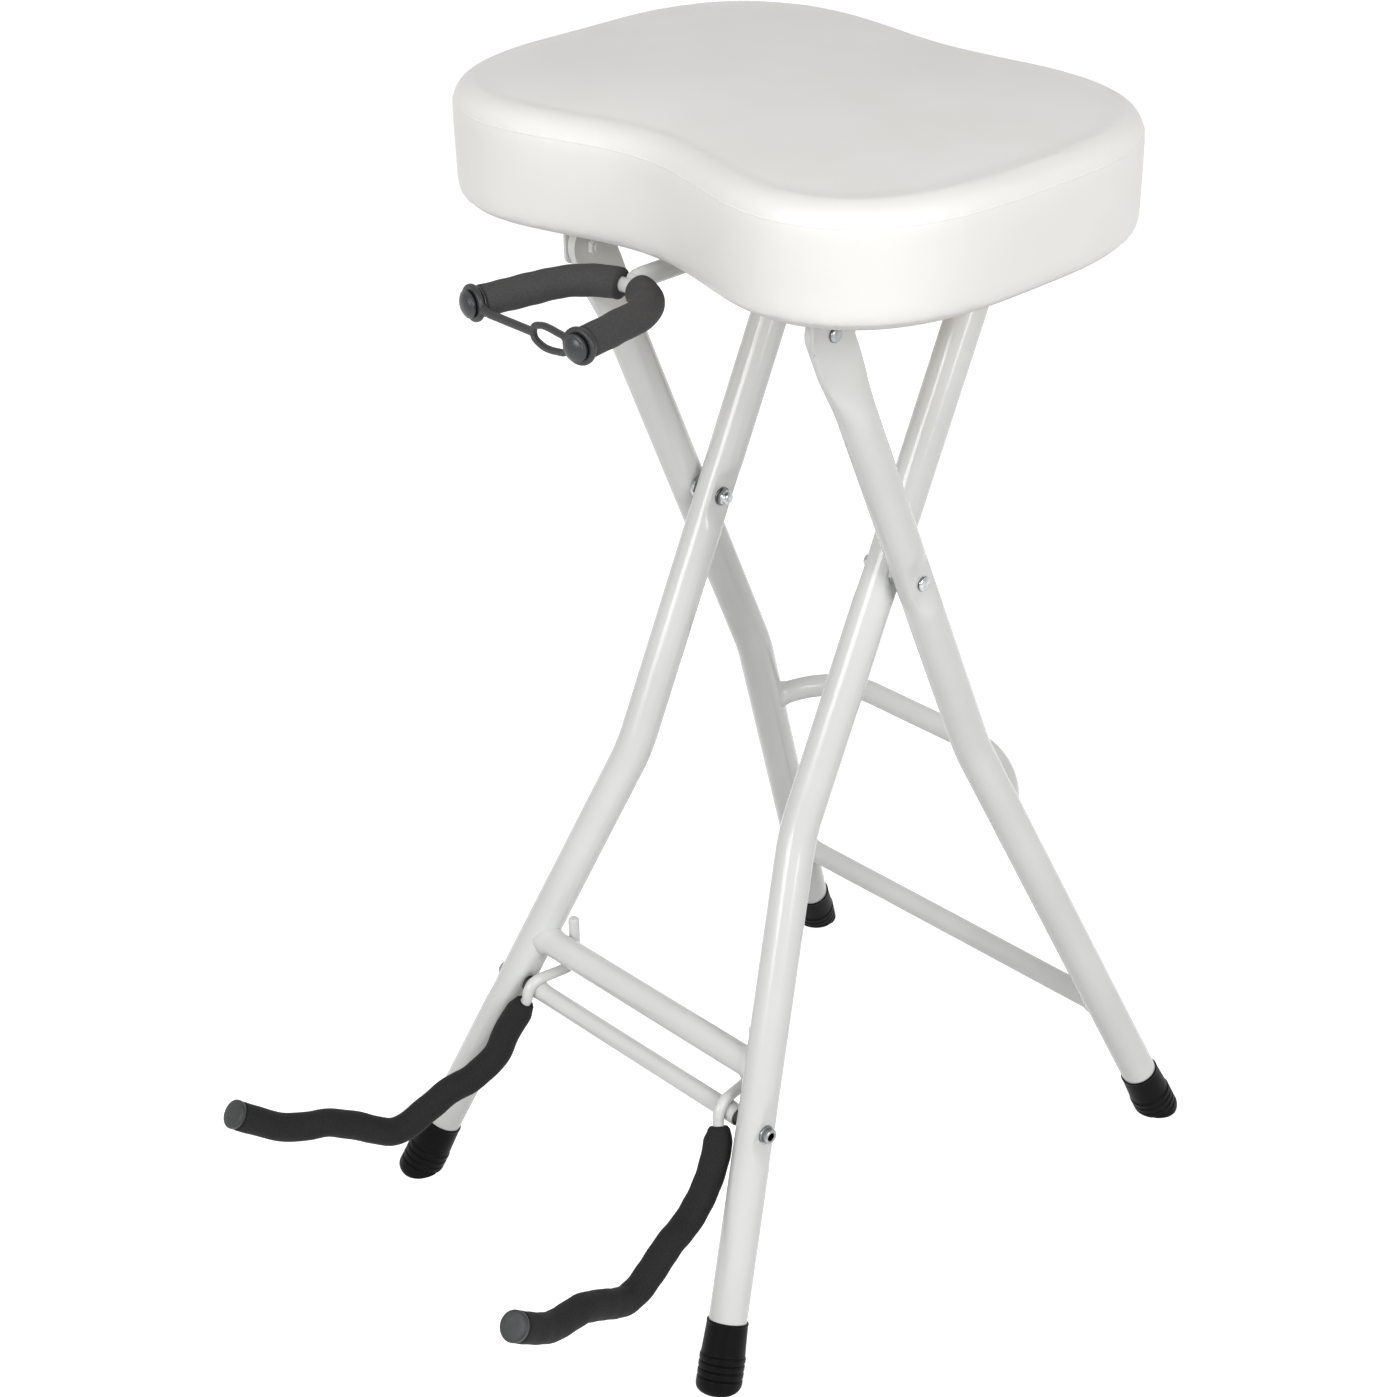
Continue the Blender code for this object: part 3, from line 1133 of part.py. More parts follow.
def strap_ring_centre():
    """Centre of the groove in the right cap, which the strap's ring fills."""
    route = yoke_route()
    reach = CAP_BORE_DEPTH - GAP - CAP_FLANGE_THICKNESS - groove_width() / 2.0
    return route[-1] - reach * prong_direction()


def build_strap(body):
    """Flat rubber strap: a ring at each end, a band and a pull loop with a slot.

    It is cut out flat and then bent by the yoke's opening near each ring, so that the rings lie
    square to the prongs.
    """
    centre = strap_ring_centre()
    ring = STRAP_RING_RADIUS
    bend = centre[0] - ring
    ring_x = bend + ring / cos(YOKE_OPENING)
    band = STRAP_BAND_HEIGHT / 2.0
    loop_half = LOOP_HEIGHT / 2.0
    loop_turn = asin(loop_half / ring)
    band_turn = asin(band / ring)
    loop_start = ring_x - ring * cos(loop_turn) - LOOP_LENGTH
    right = [(ring_x - ring * cos(turn), ring * sin(turn))
             for turn in np.linspace(loop_turn, 2.0 * pi - loop_turn, LOOP_RING_POINTS)]
    left = [(-ring_x + ring * cos(turn), -ring * sin(turn))
            for turn in np.linspace(band_turn, 2.0 * pi - band_turn, PLAIN_RING_POINTS)]
    top = [(loop_start, band), (loop_start + LOOP_SHOULDER, loop_half)]
    bottom = [(x, -z) for x, z in top[::-1]]
    outline = top + right + bottom + left
    half = STRAP_THICKNESS / 2.0
    mesh_data = prism("retainer_strap", outline, -half, half, "Y")
    bend_ends(mesh_data, bend, bent_base(centre))
    strap = add_piece("retainer_strap", mesh_data, STRAP_RUBBER, body)
    slot_end = ring_x - ring - STRAP_BAND_HEIGHT / 4.0
    slot_start = slot_end - SLOT_LENGTH
    tall = SLOT_HEIGHT / 2.0
    blunt = tall * SLOT_POINT_SHARE
    slot = ((slot_start, blunt), (slot_start + SLOT_POINT, tall), (slot_end, tall),
            (slot_end, -tall), (slot_start + SLOT_POINT, -tall), (slot_start, -blunt))
    slot = [(x, YOKE_HEIGHT + z) for x, z in slot]
    deep = bent_base(centre)
    cutter = prism("strap_slot", slot, deep - half - OVERRUN, deep + half + OVERRUN, "Y")
    cut(strap, hide_cutter("strap_slot", cutter))
    for name, sign in SIDES:
        way = mirrored(prong_direction(), sign)
        middle = mirrored(centre, sign)
        reach = half + OVERRUN
        cut(strap, drill("strap_hole_" + name, middle - reach * way, middle + reach * way,
                         CAP_GROOVE_RADIUS + GAP, STRAP_HOLE_SIDES))


def bend_ends(mesh_data, bend, base):
    """Bend a flat strap backwards by the yoke's opening, beyond a distance from its middle."""
    mesh = bmesh.new()
    mesh.from_mesh(mesh_data)
    for side in (-1.0, 1.0):
        geometry = mesh.verts[:] + mesh.edges[:] + mesh.faces[:]
        bmesh.ops.bisect_plane(mesh, geom=geometry, plane_co=(side * bend, 0.0, 0.0),
                               plane_no=(side, 0.0, 0.0))
    for vertex in mesh.verts:
        x, y, z = vertex.co
        side = 1.0 if x > 0.0 else -1.0
        over = abs(x) - bend
        across, deep = abs(x), y
        if over > GAP:
            across = bend + over * cos(YOKE_OPENING) - y * sin(YOKE_OPENING)
            deep = over * sin(YOKE_OPENING) + y * cos(YOKE_OPENING)
        elif over > -GAP:
            across = bend - y * tan(YOKE_OPENING / 2.0)
        vertex.co = (side * across, base + deep, YOKE_HEIGHT + z)
    mesh.to_mesh(mesh_data)
    mesh.free()


def bent_base(centre):
    """Y of the straight part of the strap, set so that its bent ends meet the caps' grooves."""
    return centre[1] - STRAP_RING_RADIUS * tan(YOKE_OPENING)


def floor_mesh():
    """A block whose top is the floor."""
    reach = PIVOT_HEIGHT
    outline = ((-reach, -reach), (reach, -reach), (reach, reach), (-reach, reach))
    return prism("floor_cutter", outline, -PIVOT_HEIGHT - FOOT_RIM_HEIGHT, -PIVOT_HEIGHT, "Z")


def stand_on_floor(stool):
    """Lift the stool by the pivot's height, and centre it from front to back."""
    bpy.context.view_layer.update()
    view = bpy.context.evaluated_depsgraph_get()
    ends = []
    for thing in bpy.data.objects:
        if thing.type == "MESH" and not thing.hide_render:
            solid = thing.evaluated_get(view)
            depths = [(solid.matrix_world @ vertex.co).y for vertex in solid.data.vertices]
            ends += [min(depths), max(depths)]
    stool.location = (0.0, -(min(ends) + max(ends)) / 2.0, PIVOT_HEIGHT)
    bpy.context.view_layer.update()


clear_scene()

ENAMEL = finish("white enamel", (0.72, 0.71, 0.69), 0.30)
VINYL = finish("white vinyl", (0.80, 0.79, 0.76), 0.42)
FOAM = finish("dark grey foam", (0.030, 0.029, 0.029), 0.85)
RUBBER = finish("black rubber", (0.012, 0.012, 0.012), 0.60)
STRAP_RUBBER = finish("strap rubber", (0.030, 0.031, 0.031), 0.50)
CAP_BLACK = finish("black cap plastic", (0.040, 0.042, 0.043), 0.35)
CAP_GREY = finish("grey cap plastic", (0.075, 0.077, 0.078), 0.45)
NYLON = finish("black nylon", (0.020, 0.020, 0.020), 0.50)
ZINC = finish("bright zinc", (0.55, 0.56, 0.57), 0.28, 1.0)
STEEL = finish("dark steel", (0.30, 0.30, 0.31), 0.35, 1.0)
PLYWOOD = finish("birch plywood", (0.52, 0.38, 0.22), 0.70)

STOOL = joint_axis("stool", (0.0, 0.0, 0.0))
FRONT_BODY = joint_axis("front_frame_axis", (0.0, 0.0, 0.0), STOOL)
SEAT_BODY = joint_axis("seat_axis", HINGE, STOOL)
CRADLE_BODY = joint_axis("cradle_axis", CRADLE_AXIS, FRONT_BODY)
HANGER_BODY = joint_axis("hanger_axis", (0.0, YOKE_BASE_Y, HANGER_HEIGHT), SEAT_BODY)

BEYOND = (REAR_FOOT_HALF_WIDTH + OVERRUN) * ACROSS
HOLE_RADIUS = BOLT_RADIUS + GAP
PIVOT_DRILL = drill("pivot_drill", -BEYOND, BEYOND, HOLE_RADIUS)
HINGE_DRILL = drill("hinge_drill", HINGE - BEYOND, HINGE + BEYOND, HOLE_RADIUS)
CRADLE_DRILL = drill("cradle_drill", CRADLE_AXIS - BEYOND, CRADLE_AXIS + BEYOND, HOLE_RADIUS)
ARM_DRILL = drill("arm_drill", (0.0, YOKE_BASE_Y, HANGER_HEIGHT), (0.0, CROSS_BAR[1], HANGER_HEIGHT),
                  ARM_TUBE_RADIUS + GAP, GUIDE_BORE_SIDES)
FLOOR_CUTTER = hide_cutter("floor_cutter", floor_mesh())
SCREW_DRILLS = hide_cutter("screw_drills", screw_drill_mesh())

build_rear_frame(STOOL)
build_frame_pivot(STOOL)
build_front_frame(FRONT_BODY)
build_cradle_pivot(FRONT_BODY, CRADLE_BODY)
build_cradle_arms(CRADLE_BODY)
build_cushion(SEAT_BODY)
build_brackets(SEAT_BODY)
build_screws(SEAT_BODY)
build_saddle(SEAT_BODY)
build_guides(SEAT_BODY)
build_hanger_arm(HANGER_BODY)
build_yoke(HANGER_BODY)
build_strap(HANGER_BODY)
stand_on_floor(STOOL)
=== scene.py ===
# %% [markdown]
# A folding stool for a guitar player, dressed for its portrait. The CAD model gives every piece
# its place and size. This lesson lays finer surfaces over it: bent tubes, foam sleeves, rubber
# boots, a sewn cushion, and the finish of each material.

# %% Open the CAD model
import json
from math import acos, ceil, cos, pi, radians, sin, sqrt, tan

import bmesh
import bpy
import numpy as np
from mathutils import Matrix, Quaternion, Vector
from mathutils.bvhtree import BVHTree


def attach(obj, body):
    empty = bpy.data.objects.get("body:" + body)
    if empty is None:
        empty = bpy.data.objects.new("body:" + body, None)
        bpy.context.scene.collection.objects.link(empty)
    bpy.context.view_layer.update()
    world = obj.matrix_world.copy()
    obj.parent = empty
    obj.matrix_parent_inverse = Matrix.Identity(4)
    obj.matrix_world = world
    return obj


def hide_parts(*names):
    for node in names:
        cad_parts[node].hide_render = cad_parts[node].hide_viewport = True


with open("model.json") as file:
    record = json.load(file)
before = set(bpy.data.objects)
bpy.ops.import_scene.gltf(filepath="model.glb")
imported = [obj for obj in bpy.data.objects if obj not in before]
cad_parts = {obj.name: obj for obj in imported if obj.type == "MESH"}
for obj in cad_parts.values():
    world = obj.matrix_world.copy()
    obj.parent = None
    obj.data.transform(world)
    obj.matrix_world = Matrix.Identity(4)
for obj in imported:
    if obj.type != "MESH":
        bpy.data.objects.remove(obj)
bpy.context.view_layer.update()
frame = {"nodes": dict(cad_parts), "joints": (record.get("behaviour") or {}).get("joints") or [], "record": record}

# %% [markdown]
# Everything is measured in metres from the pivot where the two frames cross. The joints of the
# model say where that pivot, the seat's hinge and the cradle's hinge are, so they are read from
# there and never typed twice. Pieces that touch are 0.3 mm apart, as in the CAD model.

joint_places = {joint["name"]: np.array(joint["pos_m"])
                for joint in frame["joints"] if "pos_m" in joint}
pivot = joint_places["frame_fold"]
hinge = joint_places["seat_hinge"]
cradle = joint_places["cradle_fold"]
gap = 0.0003
across = np.array((1.0, 0.0, 0.0))
upwards = np.array((0.0, 0.0, 1.0))
rearwards = np.array((0.0, 1.0, 0.0))

# %% [markdown]
# The camera stands where the photographer stood. Its angle, distance and lens were solved from the
# straight tubes of the stool. The picture's middle is a little beside the lens's axis, and the
# shift says by how much.

# %% Camera
def new_object(name, data):
    """An object that shows its data, linked into the scene."""
    made = bpy.data.objects.new(name, data)
    bpy.context.collection.objects.link(made)
    return made


camera_azimuth = radians(45.745)
camera_elevation = radians(27.878)
camera_roll = radians(-0.542)
camera_distance = 1.83423
looked_at = Vector(pivot) + Vector((-0.01535, -0.01568, -0.06130))

camera_data = bpy.data.cameras.new("portrait camera")
camera_data.sensor_width = 36.0
camera_data.lens = 72.38
camera_data.shift_x = -0.0464
camera_data.shift_y = -0.0612
camera = new_object("portrait_camera", camera_data)
backwards = Vector((sin(camera_azimuth) * cos(camera_elevation),
                    -cos(camera_azimuth) * cos(camera_elevation), sin(camera_elevation)))
camera.location = looked_at + camera_distance * backwards
camera.rotation_mode = "QUATERNION"
upright = (-backwards).to_track_quat("-Z", "Y")
camera.rotation_quaternion = upright @ Quaternion((0.0, 0.0, 1.0), camera_roll)
bpy.context.scene.camera = camera
print("camera at", [round(value, 3) for value in camera.location])

# %% [markdown]
# A material in Blender is a small graph of nodes. One helper adds a node, sets what it is told to
# set, and links the sockets that it is given. Colours are picked as hex values, as a paint chart
# gives them. Light adds up linearly, so a second helper undoes the screen's curve.

# %% Helpers for colours and nodes
def linear(hex_colour):
    """sRGB hex to linear light: c / 12.92 below 0.04045, else ((c + 0.055) / 1.055) ** 2.4."""
    parts = np.array([int(hex_colour[k:k + 2], 16) / 255.0 for k in (1, 3, 5)])
    light = np.where(parts <= 0.04045, parts / 12.92, ((parts + 0.055) / 1.055) ** 2.4)
    return (*light.tolist(), 1.0)


def set_up(thing, **settings):
    """Give a thing its settings by name, and return it."""
    for key, value in settings.items():
        setattr(thing, key, value)
    return thing


def add(tree, kind, inputs=None, **settings):
    """Add a node, give it its settings, and set or link each of its inputs."""
    node = set_up(tree.nodes.new(kind), **settings)
    for socket, value in (inputs or {}).items():
        if isinstance(value, bpy.types.NodeSocket):
            tree.links.new(value, node.inputs[socket])
        else:
            node.inputs[socket].default_value = value
    return node


def new_material(name, **constants):
    """A material with its Principled shader's own sockets set; returns it, its tree and shader."""
    material = bpy.data.materials.new(name)
    material.use_nodes = True
    shader = material.node_tree.nodes["Principled BSDF"]
    for socket, value in constants.items():
        shader.inputs[socket.replace("_", " ")].default_value = value
    return material, material.node_tree, shader


def combined(tree, operation, first, second=0.0):
    """The two values put together by a Math node."""
    node = add(tree, "ShaderNodeMath", {0: first, 1: second}, operation=operation)
    return node.outputs["Value"]


def mixed(tree, share, first, second):
    """The first colour where the share is 0, the second where it is 1."""
    node = add(tree, "ShaderNodeMixRGB", {"Fac": share, "Color1": first, "Color2": second})
    return node.outputs["Color"]


def grains_per_metre(millimetres):
    """Scale of a texture whose grains are that far apart."""
    return 1000.0 / millimetres


def noise_of(tree, grain_mm, detail=2.0, squeeze=None):
    """A noise with grains of a real size, fixed to the piece, perhaps squeezed along x."""
    place = add(tree, "ShaderNodeTexCoord").outputs["Object"]
    if squeeze is not None:
        mapping = add(tree, "ShaderNodeMapping", {"Vector": place, "Scale": (squeeze, 1.0, 1.0)})
        place = mapping.outputs["Vector"]
    noise = add(tree, "ShaderNodeTexNoise", {"Vector": place, "Detail": detail,
                                             "Scale": grains_per_metre(grain_mm)})
    return noise.outputs["Fac"]


def ramp(tree, pattern, low, high, first, second):
    """The first hex colour where a pattern is low, the second where it is high."""
    node = add(tree, "ShaderNodeValToRGB", {"Fac": pattern})
    for stop, place, colour in zip(node.color_ramp.elements, (low, high), (first, second)):
        stop.position = place
        stop.color = linear(colour)
    return node.outputs["Color"]


def mottled(tree, grain_mm, low, high, first, second, detail=2.0):
    """A colour that drifts between two hex colours over grains of a real size."""
    return ramp(tree, noise_of(tree, grain_mm, detail), low, high, first, second)


def bump(tree, shader, pattern, height_mm, strength=1.0, below=None):
    """Raise the surface by a pattern, perhaps on top of the bump below; returns the normal."""
    inputs = {"Height": pattern, "Distance": height_mm / 1000.0, "Strength": strength}
    if below is not None:
        inputs["Normal"] = below
    normal = add(tree, "ShaderNodeBump", inputs).outputs["Normal"]
    tree.links.new(normal, shader.inputs["Normal"])
    return normal


def roughen(tree, shader, pattern, low, high):
    """Let the roughness follow a pattern, from low to high."""
    spread = add(tree, "ShaderNodeMapRange", {"Value": pattern, "To Min": low, "To Max": high})
    tree.links.new(spread.outputs["Result"], shader.inputs["Roughness"])


def plain_finish(name, blotches, grain, **constants):
    """Blotches: as for mottled. Grain: its size, height, detail, lowest and highest roughness."""
    material, tree, shader = new_material(name, **constants)
    tree.links.new(mottled(tree, *blotches), shader.inputs["Base Color"])
    grain_mm, height_mm, detail, low, high = grain
    pattern = noise_of(tree, grain_mm, detail)
    bump(tree, shader, pattern, height_mm)
    roughen(tree, shader, pattern, low, high)
    return material


# %% [markdown]
# The frame is steel tube with a baked powder coat. Powder melts into a glossy, slightly wavy skin
# (orange peel, about 2 mm from wave to wave). It is a plastic film, so its IOR is about 1.5 and it
# isn't metallic. White coats drift a little in tone, warm to cool.

# %% Powder coat on the tubes
enamel = plain_finish("white powder coat", (90.0, 0.35, 0.7, "#DADBD9", "#E1E2E0"),
                      (2.2, 0.008, 1.0, 0.13, 0.19), IOR=1.5, Roughness=0.16)
print("powder coat:", enamel.name)

# %% [markdown]
# The cover is soft PVC (vinyl) on a cloth back. Its skin is embossed with a very fine leather
# grain, here 0.9 mm from pore to pore, which softens the highlight. A Voronoi texture gives cells
# like the pebbles of leather, and a broad noise gives the slight unevenness of a stretched cover.

# %% Vinyl of the seat
vinyl, tree, shader = new_material("white embossed vinyl", IOR=1.5, Roughness=0.42)
tree.links.new(mottled(tree, 70.0, 0.3, 0.75, "#EEECE8", "#F3F1EE"), shader.inputs["Base Color"])
place = add(tree, "ShaderNodeTexCoord")
pebbles = add(tree, "ShaderNodeTexVoronoi", {"Vector": place.outputs["Object"],
                                             "Scale": grains_per_metre(0.9)})
stretch = noise_of(tree, 45.0, 1.0)
embossed = bump(tree, shader, pebbles.outputs["Distance"], 0.03)
bump(tree, shader, stretch, 0.8, 0.5, embossed)
roughen(tree, shader, stretch, 0.36, 0.48)
print("vinyl:", vinyl.name)

# %% [markdown]
# The sleeves are closed-cell foam tube (nitrile rubber). Its skin is matt and pitted with cells
# about a millimetre wide. Foam scatters light in its pores, so the shine is very low. The yoke's
# sleeves in the photo are a little greyer than the cradle's. They are the same black foam, so
# their greyer copy is painted light.

# %% Foam of the sleeves
# The yoke's copy is a greyer tone of the same black foam: painted light.
foams = {part_name: plain_finish(part_name + " nitrile foam", (1.4, 0.35, 0.65, dark, pale),
                                 (1.1, 0.045, 3.0, 0.66, 0.84), IOR=1.45, Roughness=0.75,
                                 Specular_IOR_Level=0.25)
         for part_name, dark, pale in (("cradle", "#1D1D1D", "#232323"),
                                       ("yoke", "#434242", "#494848"))}
print("foams:", list(foams))

# %% [markdown]
# The boots are black natural rubber from a mould: smooth, half matt, with dust in the grooves. The
# pull strap is a shinier synthetic rubber, and the caps are moulded plastic with a fine spark
# texture of about half a millimetre.

# %% Rubbers and moulded plastics
boot_rubber = plain_finish("black moulded boot rubber", (12.0, 0.3, 0.8, "#060606", "#0C0C0C", 4.0),
                           (0.8, 0.02, 2.0, 0.38, 0.55), IOR=1.52, Roughness=0.5,
                           Specular_IOR_Level=0.08)
strap_rubber = plain_finish("grey black strap rubber", (9.0, 0.3, 0.8, "#1D1E1E", "#282929", 3.0),
                            (0.7, 0.015, 2.0, 0.36, 0.5), IOR=1.52, Roughness=0.42)
cap_plastic = plain_finish("charcoal cap polyethylene", (6.0, 0.3, 0.8, "#26282A", "#303334", 3.0),
                           (0.5, 0.008, 2.0, 0.26, 0.36), IOR=1.5, Roughness=0.4)
tip_plastic = plain_finish("grey tip rubber", (6.0, 0.3, 0.8, "#252728", "#2F3132", 3.0),
                           (0.5, 0.015, 2.0, 0.42, 0.58), IOR=1.5, Roughness=0.5)
nylon = plain_finish("black moulded nylon", (8.0, 0.3, 0.8, "#161616", "#202020", 3.0),
                     (0.6, 0.02, 2.0, 0.42, 0.6), IOR=1.53, Roughness=0.5)
print("rubbers and plastics made")

# %% [markdown]
# Bolts and nuts are steel with a bright zinc plating. It is a metal, so its colour is in the
# reflection. Turning and plating leave fine streaks that spread the highlight, drawn here by a
# noise squeezed along one axis. Shade and a dark reflection are painted into the colour where a
# head meets the tube: a piece may carry a painted-shade attribute, from 0 to 1, that darkens it.
# The cap screws are a darker alloy steel.

# %% Plated steels
plated = {}
for metal_name, dark, pale, rough in (("bright zinc", "#A6A8AA", "#C9CBCD", 0.18),
                                      ("dark plated steel", "#8C8E90", "#A9ABAD", 0.3)):
    plated[metal_name], tree, shader = new_material(metal_name, Metallic=1.0, Roughness=rough)
    # The attribute read here darkens the colour towards near black: painted shade and a painted dark reflection.
    painted_shade = add(tree, "ShaderNodeAttribute", attribute_name="painted_shade")
    unshaded_colour = mottled(tree, 2.5, 0.3, 0.7, dark, pale, 3.0)
    shaded_colour = mixed(tree, painted_shade.outputs["Fac"], unshaded_colour, linear("#242526"))
    tree.links.new(shaded_colour, shader.inputs["Base Color"])
    streaks = noise_of(tree, 1.5, 3.0, squeeze=6.0)
    bump(tree, shader, streaks, 0.01)
    roughen(tree, shader, streaks, rough - 0.06, rough + 0.1)
zinc, dark_steel = plated.values()
print("metals:", list(plated))

# %% [markdown]
# The seat board is bare birch plywood. Its face shows pale, stretched grain along the stool's
# width. Its edge shows the plies, about 1.5 mm thick and turned crosswise, as light and dark bands
# in height. A wave texture along Z gives the bands, and it is seen only on the sawn edge.

# %% Birch plywood
plywood, tree, shader = new_material("birch plywood", IOR=1.5, Roughness=0.62)
grain = noise_of(tree, 3.0, 5.0, squeeze=0.08)
face_colour = ramp(tree, grain, 0.3, 0.7, "#B99A6E", "#D8BF96")
place = add(tree, "ShaderNodeTexCoord")
plies = add(tree, "ShaderNodeTexWave", {"Vector": place.outputs["Object"],
                                        "Scale": grains_per_metre(3.0) / pi},
            bands_direction="Z")
edge_colour = ramp(tree, plies.outputs["Fac"], 0.0, 1.0, "#94714A", "#D9C096")
facing = add(tree, "ShaderNodeNewGeometry")
split = add(tree, "ShaderNodeSeparateXYZ", {"Vector": facing.outputs["Normal"]})
flatness = combined(tree, "ABSOLUTE", split.outputs["Z"])
tree.links.new(mixed(tree, flatness, edge_colour, face_colour), shader.inputs["Base Color"])
bump(tree, shader, grain, 0.15)
print("plywood:", plywood.name)

# %% [markdown]
# Every new piece is a surface over two parameters: rows run along the piece and columns run around
# it. Point (i, j) of such a grid is vertex i * columns + j, so the four corners of each face are
# four indices of one grid cell, and whole arrays of them are made at once. Where the surface is
# closed around, the first column is joined on again, and flat ends are one face each. The stool is
# the same on both sides, so a left-hand piece is the mirror image of the right-hand one.

# %% Grids into meshes
def grid_faces(rows, columns, first=0, ring=False, ends=True):
    """Quads of a grid closed around; ring joins the last row to the first, ends cap it."""
    index = first + np.arange(rows * columns).reshape(rows, columns)
    around = np.hstack((index, index[:, :1]))
    if ring:
        around = np.vstack((around, around[:1]))
    corners = (around[:-1, :-1], around[:-1, 1:], around[1:, 1:], around[1:, :-1])
    faces = np.stack(corners, axis=-1).reshape(-1, 4).tolist()
    if ends and not ring:
        faces += [index[0].tolist(), index[-1].tolist()]
    return faces


def make_piece(name, shells, material, body, stands_for=(), crease=40.0):
    """One piece from one or more grids; each is (grid, ring). It rides on its body."""
    points, faces = [], []
    for grid, ring in shells:
        first = sum(len(block) for block in points)
        faces += grid_faces(grid.shape[0], grid.shape[1], first, ring)
        points.append(grid.reshape(-1, 3))
    mesh = bpy.data.meshes.new(name)
    mesh.from_pydata(np.vstack(points), [], faces)
    work = bmesh.new()
    work.from_mesh(mesh)
    bmesh.ops.recalc_face_normals(work, faces=work.faces[:])
    work.to_mesh(mesh)
    work.free()
    mesh.shade_smooth()
    mesh.set_sharp_from_angle(angle=radians(crease))
    mesh.materials.append(material)
    piece = new_object(name, mesh)
    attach(piece, body)
    if stands_for:
        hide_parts(*stands_for)
    print(f"{name}: {len(mesh.vertices)} points, {len(mesh.polygons)} faces")
    return piece


sides = (("left", -1), ("right", 1))


def mirror(grid, sign):
    """The right-hand grid as it is (sign 1), or its mirror image across the middle (sign -1)."""
    return grid * np.array((sign, 1.0, 1.0))


def make_single(name, grid, material, body, stands_for, crease=40.0):
    """A piece from one open grid, which takes the place of one CAD node."""
    return make_piece(name, [(grid, False)], material, body, [stands_for], crease)


def make_pair(name, grid, material, body, stands_for, crease=40.0):
    """The right-hand piece and its mirror image; {} in the names becomes left or right."""
    return [make_single(name.format(side), mirror(grid, sign), material, body,
                        stands_for.format(side), crease) for side, sign in sides]


def smoothstep(share):
    """3 s^2 - 2 s^3, which leaves 0 and reaches 1 without a kink."""
    share = np.clip(share, 0.0, 1.0)
    return share * share * (3.0 - 2.0 * share)


# %% [markdown]
# A tube is a circle carried along a route. The route is a chain of straight runs with an arc at
# each corner. An arc is spun from the way in to the way out, so that it touches both runs, and
# then the whole route is laid out again in even steps.

# %% Routes, and circles carried along them
def unit(vectors):
    """The same directions, at length 1."""
    return vectors / np.linalg.norm(vectors, axis=-1, keepdims=True)


def ring_runs(ring):
    """Direction of travel at each point of a closed ring, at length 1."""
    return unit(np.roll(ring, -1, axis=0) - np.roll(ring, 1, axis=0))


def run_lengths(route):
    """Distance along a route from its start to each of its points."""
    steps = np.linalg.norm(np.diff(route, axis=0), axis=1)
    return np.concatenate(([0.0], np.cumsum(steps)))


def at_lengths(route, lengths):
    """The points of a route at given distances from its start."""
    reach = run_lengths(route)
    return np.column_stack([np.interp(lengths, reach, column) for column in route.T])


def part_of(route, start, end, step):
    """The stretch of a route between two distances from its start, in even steps."""
    return at_lengths(route, np.linspace(start, end, ceil((end - start) / step) + 1))


def even_steps(route, step):
    """The same route in even steps of about the given size."""
    return part_of(route, 0.0, run_lengths(route)[-1], step)


def rounded_route(corners, radii, step=0.003):
    """Straight runs between corners, with an arc of its own radius at each inner corner.

    The arc is centre + (sin((1 - s) t) a + sin(s t) b) / sin t for s from 0 to 1, where t is the
    turn, and a and b are the arm to its first and its last point.
    """
    corners = [np.asarray(corner, dtype=float) for corner in corners]
    parts = [corners[0][None]]
    share = np.linspace(0.0, 1.0, 49)[:, None]
    for before, corner, after, radius in zip(corners, corners[1:], corners[2:], radii):
        back, ahead = unit(before - corner), unit(after - corner)
        turn = pi - acos(float(np.clip(back @ ahead, -1.0, 1.0)))
        centre = corner + unit(back + ahead) * radius / cos(turn / 2.0)
        first = corner + back * radius * tan(turn / 2.0) - centre
        last = corner + ahead * radius * tan(turn / 2.0) - centre
        arc = np.sin((1.0 - share) * turn) * first + np.sin(share * turn) * last
        parts.append(centre + arc / sin(turn))
    parts.append(corners[-1][None])
    return even_steps(np.vstack(parts), step)


def once_round(count):
    """Angles of even steps round a circle."""
    return np.linspace(0.0, 2.0 * pi, count, endpoint=False)


def sweep(route, radius, reference, around=36, taller=1.0):
    """Route point + r cos(a) sideways + r * taller * sin(a) upwards, a going once round."""
    runs = unit(np.gradient(route, axis=0))
    reference = np.asarray(reference, dtype=float)
    above = unit(reference - (runs @ reference)[:, None] * runs)
    aside = np.cross(runs, above)
    radius = np.broadcast_to(radius, (len(route),))[:, None]
    taller = np.broadcast_to(taller, (len(route),))[:, None]
    angle = once_round(around)
    wide = (radius * np.cos(angle))[..., None] * aside[:, None]
    tall = (radius * taller * np.sin(angle))[..., None] * above[:, None]
    return route[:, None] + wide + tall


# %% [markdown]
# The front frame is one 25 mm tube: up from one front foot, out of its splay at the knee, across
# under the rear of the seat and down again. A tube press has squeezed flats into it for the bolts.
# Such a flat is the circle with its far side clipped by a plane, and the clip fades in and out
# along the tube, which gives the soft dimple round each bolt in the photo. On the splayed part of
# the leg the plane leans with the leg, past the flat itself.

